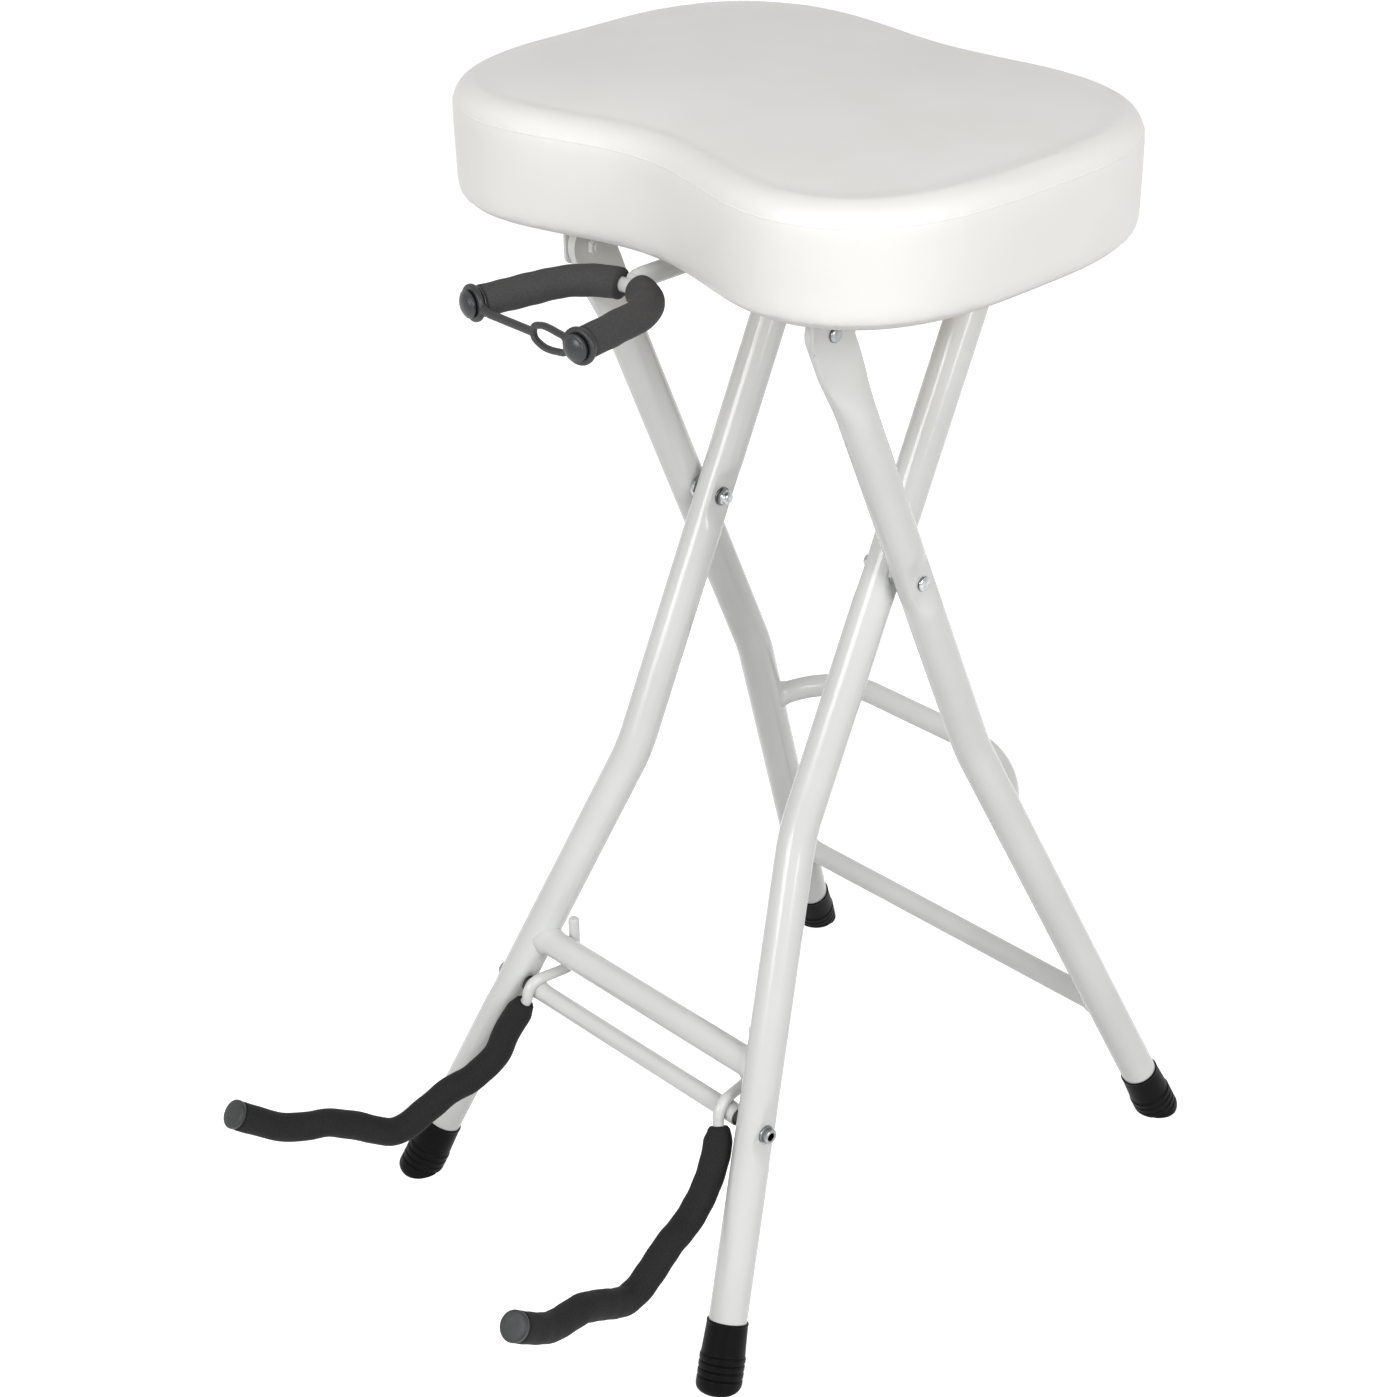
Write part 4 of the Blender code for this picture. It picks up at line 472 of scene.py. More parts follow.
# %% Front frame tube
tube_radius = 0.0125
tube_in_boot = 0.022
knee_bend_radius = 0.120
top_bend_radius = 0.050
boot_rim_height = 0.0357
pivot_height = pivot[2]
front_tilt = radians(25.4)
front_up = np.array((0.0, sin(front_tilt), cos(front_tilt)))
front_normal = np.array((0.0, cos(front_tilt), -sin(front_tilt)))
front_half_width = 0.077
front_foot_half_width = 0.1442
front_knee_drop = 0.180
front_rim_drop = (pivot_height - boot_rim_height) / cos(front_tilt)
front_splay = (front_foot_half_width - front_half_width) / (front_rim_drop - front_knee_drop)
seat_hinge_drop = 0.0311
vinyl_thickness = 0.0010
saddle_crown = 0.0031
cross_bar_rise = (hinge[2] - pivot_height + seat_hinge_drop + vinyl_thickness - saddle_crown - gap
                  - tube_radius) / cos(front_tilt)
cradle_drop = np.linalg.norm(cradle - pivot)
pivot_press_depth = 0.005
facing_press_depth = 0.0015
cradle_press_depth = 0.004
cradle_facing_depth = 0.001
flat_half = 0.0065
flat_fade = 0.019


def leg_place(half_width, knee_drop, splay, up, drop):
    """Middle of a right-hand leg, a distance below the pivot: splayed once below its knee."""
    return pivot + (half_width + splay * max(0.0, drop - knee_drop)) * across - drop * up


def front_leg(drop):
    """Middle of the right front leg, a distance below the pivot."""
    return leg_place(front_half_width, front_knee_drop, front_splay, front_up, drop)


def clip_flat(grid, along, place, half_length, fade, low, high):
    """Clip the distance from the stool's middle to low..high near a place, fading along the tube."""
    hold = smoothstep((half_length + fade - np.abs(along - place)) / fade)[:, None]
    distance = np.abs(grid[..., 0])
    moved = distance + hold * (np.clip(distance, low, high) - distance)
    grid[..., 0] = np.sign(grid[..., 0]) * moved


right_half = (front_leg(front_rim_drop + tube_in_boot), front_leg(front_knee_drop),
              front_leg(0.0) + cross_bar_rise * front_up)
corners = [*right_half, *[mirror(corner, -1) for corner in right_half[::-1]]]
front_route = rounded_route(corners, (knee_bend_radius, top_bend_radius, top_bend_radius,
                                      knee_bend_radius))
front_grid = sweep(front_route, tube_radius, front_normal)
front_along = (front_route - pivot) @ front_up
front_outer_flat = front_half_width + tube_radius - facing_press_depth
front_inner_flat = front_half_width - tube_radius + pivot_press_depth
clip_flat(front_grid, front_along, 0.0, flat_half, flat_fade, front_inner_flat, front_outer_flat)
cradle_leg_x = front_leg(cradle_drop)[0]
leg_surface = tube_radius * sqrt(1.0 + front_splay ** 2)
cradle_outer_flat = cradle_leg_x + leg_surface - cradle_press_depth
cradle_inner_flat = cradle_leg_x - leg_surface + cradle_facing_depth
below_screw = -cradle_drop - front_along
lean_out = front_splay * (below_screw - np.clip(below_screw, -flat_half, flat_half))[:, None]
clip_flat(front_grid, front_along, -cradle_drop, flat_half, flat_fade,
          cradle_inner_flat + lean_out, cradle_outer_flat + lean_out)
make_single("front_tube", front_grid, enamel, "front_frame", "front_u_tube")

# %% [markdown]
# The rear legs are cut from the same tube. Their upper ends are squeezed flat, 6.5 mm thick and
# wider than the tube, rounded off like a tongue, and bolted to the seat's brackets. The squeeze
# keeps the girth: as the thickness falls, the width grows. Both follow the same smooth step.

# %% Rear legs
rear_tilt = radians(22.3)
rear_up = np.array((0.0, -sin(rear_tilt), cos(rear_tilt)))
rear_normal = np.array((0.0, cos(rear_tilt), sin(rear_tilt)))
rear_knee_drop = 0.158
rear_foot_half_width = 0.1652
pivot_washer_thickness = 0.0029
rear_rim_drop = (pivot_height - boot_rim_height) / cos(rear_tilt)
rear_half_width = (front_half_width + 2.0 * tube_radius + pivot_washer_thickness + 2.0 * gap
                   - 2.0 * facing_press_depth)
rear_splay = (rear_foot_half_width - rear_half_width) / (rear_rim_drop - rear_knee_drop)
hinge_rise = 0.2025
leg_end_radius = 0.0168
leg_end_thickness = 0.0065
leg_end_length = 0.020
flattening = 0.048
roundest = 0.9988


def rear_leg(drop):
    """Middle of the right rear leg, a distance below the pivot."""
    return leg_place(rear_half_width, rear_knee_drop, rear_splay, rear_up, drop)


leg_top = hinge_rise + leg_end_radius
straight = rounded_route((rear_leg(rear_rim_drop + tube_in_boot), rear_leg(rear_knee_drop),
                          rear_leg(0.0) + hinge_rise * rear_up), (knee_bend_radius,))
end_turns = np.radians(np.linspace(3.0, 87.0, 22))
tongue = rear_leg(0.0) + (hinge_rise + leg_end_radius * np.sin(end_turns))[:, None] * rear_up
rear_route = np.vstack((straight, tongue))
rear_along = (rear_route - pivot) @ rear_up
widening = smoothstep((rear_along - (hinge_rise - leg_end_length - flattening)) / flattening)
half_wide = tube_radius + widening * (leg_end_radius - tube_radius)
over = np.clip((rear_along - hinge_rise) / leg_end_radius, 0.0, roundest)
half_wide = half_wide * np.sqrt(1.0 - over ** 2)
rear_outer_flat = rear_half_width + tube_radius - pivot_press_depth
rear_grid = sweep(rear_route, tube_radius, rear_normal, taller=half_wide / tube_radius)
clip_flat(rear_grid, rear_along, 0.0, flat_half, flat_fade,
          rear_half_width - tube_radius + facing_press_depth, rear_outer_flat)
clip_flat(rear_grid, rear_along, leg_top, leg_end_length + leg_end_radius, flattening,
          rear_half_width - leg_end_thickness / 2.0, rear_half_width + leg_end_thickness / 2.0)
make_pair("rear_leg_tube_{}", rear_grid, enamel, "rear_frame", "rear_leg_{}")

# %% [markdown]
# The bars between the legs are welded. A weld bead is a small fillet of metal all round the end of
# the bar, under the paint, and it follows the saddle line where a round bar meets a round leg. For
# each point of the bar, its distance to the leg's skin is known, and the bar swells by
# rise * exp(-(distance / length)^2). A slow ripple along the bead gives the look of hand welding.

# %% Welded bars
bead_rise = 0.0013
bead_length = 0.0032
coarse_ripple_share = 0.18
fine_ripple_share = 0.10
bar_step = 0.0012
footrest_radius = 0.0095
footrest_drop = 0.330
brace_radius = 0.008
lower_brace_drop = 0.408
bow_drop = 0.222
bow_inset = 0.0355
bow_depth = 0.0416
bow_bend_radius = 0.075


def with_beads(route, radius, reference, legs, around=36):
    """A bar that swells to a rippled bead wherever it comes near the skin of a leg.

    The distance from a point p to a leg through q along d is |(p - q) x d|, d being of length 1.
    """
    plain = sweep(route, radius, reference, around)
    angle = once_round(around)
    ripple = (1.0 + coarse_ripple_share * np.sin(7.0 * angle)
              + fine_ripple_share * np.sin(16.0 * angle + 1.0))
    swell = np.zeros(plain.shape[:2])
    for place, direction in legs:
        away = np.linalg.norm(np.cross(plain - place, direction), axis=-1) - tube_radius
        near = np.exp(-((np.maximum(away, 0.0) / bead_length) ** 2))
        swell = np.maximum(swell, ripple * near)
    outwards = (plain - route[:, None]) / radius
    return plain + bead_rise * swell[..., None] * outwards


def leg_lines(leg, rim_drop, knee_drop):
    """A point and the direction of a leg's splayed part, with their mirror image."""
    way = unit(leg(rim_drop) - leg(knee_drop))
    return [(leg(rim_drop), way), (mirror(leg(rim_drop), -1), mirror(way, -1))]


def welded_bar(name, leg, drop, radius, lines, body, stands_for):
    """A straight bar between the middles of two legs, a distance below the pivot."""
    route = even_steps(np.array((leg(drop), mirror(leg(drop), -1))), bar_step)
    grid = with_beads(route, radius, upwards, lines)
    make_single(name, grid, enamel, body, stands_for)


front_lines = leg_lines(front_leg, front_rim_drop, front_knee_drop)
rear_lines = leg_lines(rear_leg, rear_rim_drop, rear_knee_drop)
welded_bar("footrest_bar_welded", front_leg, footrest_drop, footrest_radius, front_lines,
           "front_frame", "footrest_bar")
welded_bar("lower_brace_welded", rear_leg, lower_brace_drop, brace_radius, rear_lines,
           "rear_frame", "rear_lower_brace")
bow_end = rear_leg(bow_drop)
bow_corner = bow_end - bow_inset * across + bow_depth * rear_normal
bow_route = rounded_route((bow_end, bow_corner, mirror(bow_corner, -1), mirror(bow_end, -1)),
                          (bow_bend_radius, bow_bend_radius), bar_step)
bow_grid = with_beads(bow_route, brace_radius, rear_up, rear_lines)
make_single("bow_brace_welded", bow_grid, enamel, "rear_frame", "rear_bow_brace")

# %% [markdown]
# Boots, bolts, nuts and caps are turned shapes: a profile of radius and height, spun about an
# axis. Some rows are hexagonal, as on a nut. There the radius shrinks between the corners by
# cos 30 / cos(a), a being the angle from the middle of the flat.

# %% Turned shapes
def turned(profile, place, axis, around=48):
    """Spin rows of (radius, height) or (radius, height, True for a hexagon) about an axis."""
    axis = unit(np.asarray(axis, dtype=float))
    helper = upwards if abs(axis[2]) < 0.9 else rearwards
    first = unit(np.cross(helper, axis))
    second = np.cross(axis, first)
    angle = once_round(around)
    from_flat = (angle + pi / 6.0) % (pi / 3.0) - pi / 6.0
    hexagon = cos(pi / 6.0) / np.cos(from_flat)
    radius = np.array([row[0] for row in profile])[:, None]
    height = np.array([row[1] for row in profile])[:, None, None]
    is_hexagon = np.array([len(row) == 3 for row in profile])[:, None]
    reach = radius * np.where(is_hexagon, hexagon, 1.0)
    spun = (reach * np.cos(angle))[..., None] * first + (reach * np.sin(angle))[..., None] * second
    return np.asarray(place) + spun + height * axis


def rounded_profile(corners, radius):
    """Each inner corner c is cut round, from a to b, by (1 - s)^2 a + 2 s (1 - s) c + s^2 b."""
    corners = np.array(corners)
    made = [corners[:1]]
    s = np.linspace(0.0, 1.0, 5)[:, None]
    for before, corner, after in zip(corners, corners[1:], corners[2:]):
        back, ahead = before - corner, after - corner
        reach = min(radius, 0.45 * np.linalg.norm(back), 0.45 * np.linalg.norm(ahead))
        a = corner + reach * unit(back)
        b = corner + reach * unit(ahead)
        made.append((1.0 - s) ** 2 * a + 2.0 * s * (1.0 - s) * corner + s ** 2 * b)
    return np.vstack((*made, corners[-1:]))


# %% [markdown]
# Each boot is a rubber sock. Its upper half is smooth, with a thin lip at the rim. Below are four
# grip ribs with narrow grooves between them, and a rounded toe that is worn flat where it stands
# on the floor. The ribs are full and the grooves are narrow, so a squared cosine raised to the
# sixth power fits better than a plain wave.

# %% Rubber boots
boot_bore = 0.0127
boot_bore_depth = 0.0035
rim_round = 0.0002
lip_radius = 0.0133
lip_rise = 0.0003
lip_middle = 0.0009
lip_width = 0.0007
groove_radius = 0.0143
smooth_length = 0.0215
rib_pitch = 0.0049
rib_rise = 0.0006
rib_start_length = 0.002
groove_depth = 0.0009
groove_count = 4
toe_length = 0.006
toe_inset = 0.0045
toe_roundest = 0.999


def boots(which, leg, rim_drop, knee_drop):
    """Rows follow a boot's length s; its radius is a sum of steps, ribs and the round toe."""
    way = unit(leg(rim_drop) - leg(knee_drop))
    shoulder = boot_rim_height / -way[2] + rib_rise
    s = np.linspace(0.0, shoulder + toe_length, 150)
    flare = lip_radius + (groove_radius - lip_radius) * np.clip(s / smooth_length, 0.0, 1.0)
    turn = np.minimum((s - smooth_length) / rib_pitch, groove_count - 0.5)
    groove = np.cos(pi * turn) ** 2
    ribbed = smoothstep((s - smooth_length) / rib_start_length + 0.75)
    lip = lip_rise * np.exp(-(((s - lip_middle) / lip_width) ** 2))
    toe = np.clip((s - shoulder) / toe_length, 0.0, 1.0)
    rounding = toe_inset * (1.0 - np.sqrt(1.0 - toe_roundest * toe ** 2))
    radius = flare + ribbed * (rib_rise - groove_depth * groove ** 6) + lip - rounding
    inner = [(boot_bore, boot_bore_depth), (boot_bore, 0.0), (boot_bore + rim_round, -rim_round),
             (lip_radius - rim_round, -rim_round)]
    grid = turned([*inner, *zip(radius, s)], leg(rim_drop), way, 64)
    grid[..., 2] = np.maximum(grid[..., 2], 0.0)
    make_pair(which + "_foot_{}_ribbed", grid, boot_rubber, which + "_frame", which + "_foot_{}",
              50.0)


boots("front", front_leg, front_rim_drop, front_knee_drop)
boots("rear", rear_leg, rear_rim_drop, rear_knee_drop)

# %% [markdown]
# The frames turn on two bolts. Outside there is a low round head, inside there is an acorn nut: a
# hexagon with a dome that covers the bolt's end. The seat's hinges have a head too, and a low
# chamfered nut that is painted with the leg. Real edges are never sharp, so each corner of a
# profile is rounded by a few tenths of a millimetre.

# %% Bolt heads and nuts
bracket_thickness = 0.002
shank_radius = 0.0030
quarter_turn = np.linspace(0.0, pi / 2.0, 12)


def paint_shade(pieces, shares):
    """Give each row of some turned pieces its share of painted shade, kept between 0 and 1."""
    for piece in pieces:
        around = len(piece.data.vertices) // len(shares)
        values = np.clip(np.repeat(shares, around), 0.0, 1.0)
        painted_shade = piece.data.attributes.new("painted_shade", "FLOAT", "POINT")
        painted_shade.data.foreach_set("value", values.astype(np.float32))


def bolt_heads(name, place, body, stands_for, steel):
    """A low dome: an arc of radius against height, on a short piece of shank."""
    dome = [(0.0001 + 0.0047 * sin(a), -0.0008 - 0.0020 * cos(a)) for a in quarter_turn]
    profile = dome + [(0.0048, -0.0003), (0.0046, 0.0), (shank_radius, 0.0), (shank_radius, 0.004)]
    heads = make_pair(name, turned(profile, place, -across), steel, body, stands_for)
    # Painted shade and a painted dark reflection ring where the head meets the piece it holds.
    paint_shade(heads, [1.0 + height / 0.0016 for radius, height in profile])


bolt_heads("pivot_bolt_head_{}", pivot + (rear_outer_flat + gap) * across, "rear_frame",
           "pivot_bolt_{}", zinc)
bracket_outer = rear_half_width + leg_end_thickness / 2.0 + gap + bracket_thickness
bolt_heads("hinge_bolt_head_{}", hinge + (bracket_outer + gap) * across, "seat",
           "seat_hinge_bolt_{}", dark_steel)

acorn = [(0.0032, 0.0006), (0.0032, 0.0), (0.0062, 0.0), (0.0063, 0.0003), (0.0062, 0.0006),
         (0.0058, 0.0008, True), (0.0058, 0.0036, True), (0.0050, 0.0042), (0.0045, 0.0044),
         (0.0044, 0.0046)]
acorn += [(0.0043 * cos(a) + 0.0001, 0.0048 + 0.0030 * sin(a)) for a in quarter_turn]
acorn_grid = turned(acorn, pivot + (front_inner_flat - gap) * across, -across)
acorns = make_pair("pivot_acorn_{}", acorn_grid, zinc, "rear_frame", "pivot_nut_{}", 25.0)
# Painted shade and a painted dark reflection: the nut darkens towards its base on the tube.
paint_shade(acorns, [1.0 - row[1] / 0.0024 for row in acorn])

low_nut = [(0.0032, 0.0006), (0.0032, 0.0), (0.0058, 0.0, True), (0.0058, 0.0034, True),
           (0.0052, 0.0039), (0.0034, 0.0040), (0.0030, 0.0046), (0.0001, 0.0048)]
bracket_inner = rear_half_width - leg_end_thickness / 2.0 - gap
make_pair("hinge_nut_{}", turned(low_nut, hinge + bracket_inner * across, -across), enamel, "seat",
          "seat_hinge_nut_{}", 25.0)

# %% [markdown]
# The cradle turns on two socket head screws. Such a head is a short cylinder with a chamfer and a
# deep hexagonal socket for a key, on a thin flange. The profile starts at the socket's floor,
# climbs its six walls, and comes down outside. The side of the cylinder is knurled with 32 small
# ribs. Shade is painted into the socket, low on the side and in the corner below the flange.

# %% Socket head screws
socket_head = [(0.0001, -0.0014), (0.0028, -0.0014, True), (0.0029, -0.0049, True),
               (0.0033, -0.0053), (0.0046, -0.0053), (0.0050, -0.0049), (0.0050, -0.0016),
               (0.0057, -0.0012), (0.0059, -0.0006), (0.0057, 0.0), (shank_radius, 0.0),
               (shank_radius, 0.004)]
knurled_rows = slice(5, 7)
knurl_depth_share = 0.018
screw_grid = turned(socket_head, cradle + (cradle_outer_flat + gap) * across, -across, 96)
knurl = 1.0 - knurl_depth_share * (np.cos(32.0 * once_round(96)) > 0.0)[:, None]
from_axis = screw_grid[knurled_rows, :, 1:] - cradle[1:]
screw_grid[knurled_rows, :, 1:] = cradle[1:] + from_axis * knurl
screws = make_pair("cradle_screw_{}", screw_grid, dark_steel, "front_frame", "cradle_bolt_{}",
                   25.0)
# Painted shade in the socket, low on the side and under the flange.
paint_shade(screws, (1.0, 1.0, 0.9, 0.1, 0.0, 0.0, 0.6, 0.3, 0.2, 0.8, 1.0, 1.0))

# %% [markdown]
# The cradle's arms are 7.5 mm steel rod, bent in the air: up behind the footrest bar as a stop,
# over the cross tube that they are welded to, then forwards in two waves to the tip. The waves
# pass through measured points. Between two points, a Hermite cubic keeps the direction smooth.

# %% Route of a cradle arm
rod_radius = 0.00375
cross_tube_radius = 0.00635
spacer_thickness = 0.0032
arm_end_inset = 0.0079
stub_inset = 0.006
stub_rise = 0.0485
stub_bend_radius = 0.009
arm_reach = 0.2196
arm_drop = 0.0717
arm_spread = 0.0465
cross_tube_end = cradle_inner_flat - gap - spacer_thickness - gap
arm_half_spacing = cross_tube_end - arm_end_inset
wave_shares = np.array((
    (0.059, 0.117, 0.065), (0.101, 0.336, 0.170), (0.151, 0.577, 0.200), (0.226, 0.727, 0.270),
    (0.328, 0.802, 0.366), (0.404, 0.909, 0.430), (0.469, 0.987, 0.477), (0.520, 0.990, 0.510),
    (0.576, 0.891, 0.580), (0.647, 0.743, 0.656), (0.719, 0.618, 0.720), (0.783, 0.565, 0.783),
    (0.844, 0.508, 0.850), (0.909, 0.378, 0.925), (1.000, 0.146, 1.000)))


def hermite(points, first_way, samples=16):
    """Cubics through points: (2s^3-3s^2+1)p + (s^3-2s^2+s)u + (3s^2-2s^3)q + (s^3-s^2)v."""
    spans = np.linalg.norm(np.diff(points, axis=0), axis=1)[:, None]
    slopes = np.diff(points, axis=0) / spans
    inner = (slopes[:-1] * spans[1:] + slopes[1:] * spans[:-1]) / (spans[:-1] + spans[1:])
    ways = np.vstack((first_way, inner, slopes[-1:]))
    s = np.linspace(0.0, 1.0, samples, endpoint=False)[:, None, None]
    p, q, u, v = points[:-1], points[1:], ways[:-1] * spans, ways[1:] * spans
    curve = (2 * s**3 - 3 * s**2 + 1) * p + (s**3 - 2 * s**2 + s) * u
    curve = curve + (3 * s**2 - 2 * s**3) * q + (s**3 - s**2) * v
    return np.vstack((curve.transpose(1, 0, 2).reshape(-1, 3), points[-1:]))


hook = cross_tube_radius + rod_radius + gap
footrest_y = (pivot - footrest_drop * front_up)[1]
behind = footrest_y - cradle[1] + footrest_radius + rod_radius + gap
stub = cradle + np.array(((arm_half_spacing - stub_inset, behind, stub_rise),
                          (arm_half_spacing - stub_inset, behind, hook),
                          (arm_half_spacing, -hook, hook), (arm_half_spacing, -hook, 0.0)))
hooked = rounded_route(stub, (stub_bend_radius, hook), 0.0015)
ahead, down, out = (wave_shares * (arm_reach, arm_drop, arm_spread)).T
wave_points = np.column_stack((arm_half_spacing + out, -ahead, -down)) + cradle
wave = even_steps(hermite(np.vstack((stub[-1:], wave_points)), -upwards), 0.002)
arm_route = np.vstack((hooked, wave[1:]))
print("cradle arm, mm along the rod:", round(1000.0 * run_lengths(arm_route)[-1]))

# %% [markdown]
# The foam starts narrow, where it is squeezed against the hook, and reaches 19 mm. On the inside
# of a bend foam tube bunches up a little and on the outside it thins, and its skin is never quite
# even, so three slow waves of 0.2 mm run over it. The ends are cut square with a soft edge.

# %% Foam sleeves and tips of the cradle
sleeve_start = 0.0052
sleeve_radius = 0.0095
neck_radius = 0.0070
neck_length = 0.010
rod_tip_length = 0.002
tip_radius = 0.0097
tip_length = 0.0046
soft_edge = 0.0012


def cut_back(distance):
    """How much a sleeve's skin has sunk at a distance from its end: a quarter of a circle."""
    short = soft_edge - np.minimum(distance, soft_edge)
    return soft_edge - np.sqrt(np.maximum(soft_edge ** 2 - short ** 2, 0.0))


def foam_sleeve(route, radius, bore, reference, around=40):
    """Outer skin with soft ends, then flat end rings down to the bore."""
    s = run_lengths(route)
    angle = once_round(around)
    uneven = (0.00018 * np.sin(s / 0.0041)[:, None] * np.sin(angle + 1.0)
              + 0.00016 * np.sin(s / 0.0067 + 2.0)[:, None] * np.cos(2.0 * angle)
              + 0.00012 * np.sin(s / 0.0023)[:, None] * np.cos(angle - 2.0))
    skin = sweep(route, radius, reference, around)
    sunk = (cut_back(s) + cut_back(s[-1] - s))[:, None]
    skin = skin + (uneven - sunk)[..., None] * unit(skin - route[:, None])
    inside = sweep(route, bore, reference, around)
    return np.vstack((inside[:1], skin, inside[-1:]))


foam_start = run_lengths(hooked)[-1] + sleeve_start
foam_end = run_lengths(arm_route)[-1] - rod_tip_length
foam_route = part_of(arm_route, foam_start, foam_end, 0.0018)
neck = smoothstep(run_lengths(foam_route) / neck_length)
foam_radius = neck_radius + neck * (sleeve_radius - neck_radius)
cradle_foam = foam_sleeve(foam_route, foam_radius, rod_radius, across)
make_pair("cradle_foam_{}", cradle_foam, foams["cradle"], "cradle", "cradle_sleeve_{}",
          60.0)
rod_grid = sweep(part_of(arm_route, 0.0, foam_start + 0.03, 0.0012), rod_radius, across, 28)
rod_grid[0] = arm_route[0] + 0.72 * (rod_grid[0] - arm_route[0])
make_pair("cradle_rod_bent_{}", rod_grid, enamel, "cradle", "cradle_rod_{}")
tip_way = unit(arm_route[-1] - arm_route[-2])
tip_profile = rounded_profile([(0.0040, 0.0), (tip_radius, 0.0), (tip_radius, 0.0040),
                               (0.0060, tip_length), (0.0001, tip_length)], 0.0016)
tip_grid = turned(tip_profile, foam_route[-1] + gap * tip_way, tip_way)
make_pair("cradle_cap_{}", tip_grid, tip_plastic, "cradle", "cradle_tip_{}")

# %% [markdown]
# The cross tube of the cradle is 12.7 mm tube between two black spacers. The rods are welded on
# top of it, and the bead shows as a swelling of the tube under each rod.

# %% Cross tube and spacers
rod_weld_share = 0.22
rod_weld_length = 0.0045
spacer_bore = 0.0033
spacer_radius = 0.0058
tube_end = cradle + cross_tube_end * across
tube_route = even_steps(np.array((mirror(tube_end, -1), tube_end)), 0.0012)
from_middle = sweep(tube_route, cross_tube_radius, upwards) - tube_route[:, None]
near_rod = np.exp(-(((np.abs(tube_route[:, 0]) - arm_half_spacing) / rod_weld_length) ** 2))
upper = np.clip(from_middle[..., 2] / cross_tube_radius, 0.0, 1.0)
swell = 1.0 + rod_weld_share * near_rod[:, None] * upper
cross_grid = tube_route[:, None] + swell[..., None] * from_middle
make_single("cradle_cross_tube_welded", cross_grid, enamel, "cradle", "cradle_cross_tube")
spacer = rounded_profile([(spacer_bore, 0.0004), (spacer_bore, 0.0), (spacer_radius, 0.0),
                          (spacer_radius, spacer_thickness), (spacer_bore, spacer_thickness),
                          (spacer_bore, spacer_thickness - 0.0004)], 0.0005)
spacer_grid = turned(spacer, tube_end + gap * across, across)
make_pair("cradle_spacer_{}", spacer_grid, nylon, "cradle", "cradle_washer_{}")

# %% [markdown]
# The hanger is a fork of 9 mm rod, wrapped in foam, on an arm that slides under the seat. In the
# photo a short bare stretch of rod shows in the middle, where the arm's drawn-down nose is welded
# on. The arm is turned about its own line: full width, a smooth taper, and the narrow nose.

# %% Hanger arm and yoke
hanger_drop = 0.0129
hanger_reach = 0.0582
yoke_drop = 0.0037
yoke_bend_radius = 0.038
yoke_rod_radius = 0.0045
yoke_foam_radius = 0.0096
yoke_foam_half_gap = 0.0072
prong_length = 0.0525
opening = radians(10)
nose_radius = 0.0048
arm_tube_radius = 0.00635
arm_bore = 0.00485
arm_bore_start = 0.060
travel_stop = 0.085
stop_pin_width = 0.004
arm_tail = 0.006
cap_bore_depth = 0.0075
arm_height = hinge[2] + seat_hinge_drop + vinyl_thickness + gap - hanger_drop
hanger_height = arm_height - yoke_drop
yoke_base = np.array((0.0, hinge[1] - hanger_reach, hanger_height))
prong_way = np.array((sin(opening), -cos(opening), 0.0))
turns = np.linspace(0.0, pi / 2.0 - opening, 40)
bend_middle = yoke_base - yoke_bend_radius * rearwards
bend = bend_middle + yoke_bend_radius * np.column_stack((np.sin(turns), np.cos(turns), 0.0 * turns))
yoke_half = even_steps(np.vstack((bend, bend[-1] + prong_length * prong_way)), 0.0012)
yoke_whole = np.vstack((yoke_half[::-1], mirror(yoke_half[1:], -1)))
yoke_grid = sweep(yoke_whole, yoke_rod_radius, upwards, 28)
make_single("yoke_rod", yoke_grid, enamel, "hanger", "hanger_yoke")

nose_end = yoke_base[1] + 0.0010
arm_length = hinge[1] + travel_stop + gap + stop_pin_width + arm_tail - nose_end
arm_s = np.concatenate((np.linspace(0.0, 0.045, 60), [arm_length]))
taper = smoothstep((arm_s - 0.0030) / 0.0050)
weld = 0.0010 * np.exp(-(((arm_s - 0.0036) / 0.0018) ** 2))
arm_profile = [*zip(nose_radius + taper * (arm_tube_radius - nose_radius) + weld, arm_s),
               (arm_bore, arm_length), (arm_bore, arm_bore_start)]
arm_grid = turned(arm_profile, (0.0, nose_end, arm_height), rearwards)
make_single("hanger_arm_tube", arm_grid, enamel, "hanger", "hanger_arm")

yoke_foam_route = part_of(yoke_half, yoke_foam_half_gap,
                          run_lengths(yoke_half)[-1] - cap_bore_depth, 0.0012)
yoke_foam = foam_sleeve(yoke_foam_route, yoke_foam_radius, yoke_rod_radius, upwards)
make_pair("yoke_foam_{}", yoke_foam, foams["yoke"], "hanger", "yoke_sleeve_{}", 60.0)

# %% [markdown]
# Each prong ends in a plastic cap shaped like a shirt button on a stalk: a flange against the foam,
# a groove that holds the strap's ring, and a head with a shallow step and a low dome.

# %% Caps of the yoke
cap_place = yoke_half[-1] - (cap_bore_depth - gap) * prong_way
cap_flange = 0.0015
button = [(0.0040, 0.0), (0.0096, 0.0), (0.0096, cap_flange), (0.0070, cap_flange),
          (0.0070, 0.0067), (0.0082, 0.0067), (0.0082, 0.0089), (0.0071, 0.0091),
          (0.0067, 0.0098), (0.0055, 0.0105), (0.0040, 0.0110), (0.0022, 0.0114),
          (0.0001, 0.0115)]
cap_grid = turned(rounded_profile(button, 0.0007), cap_place, prong_way)
make_pair("yoke_button_{}", cap_grid, cap_plastic, "hanger", "yoke_cap_{}")

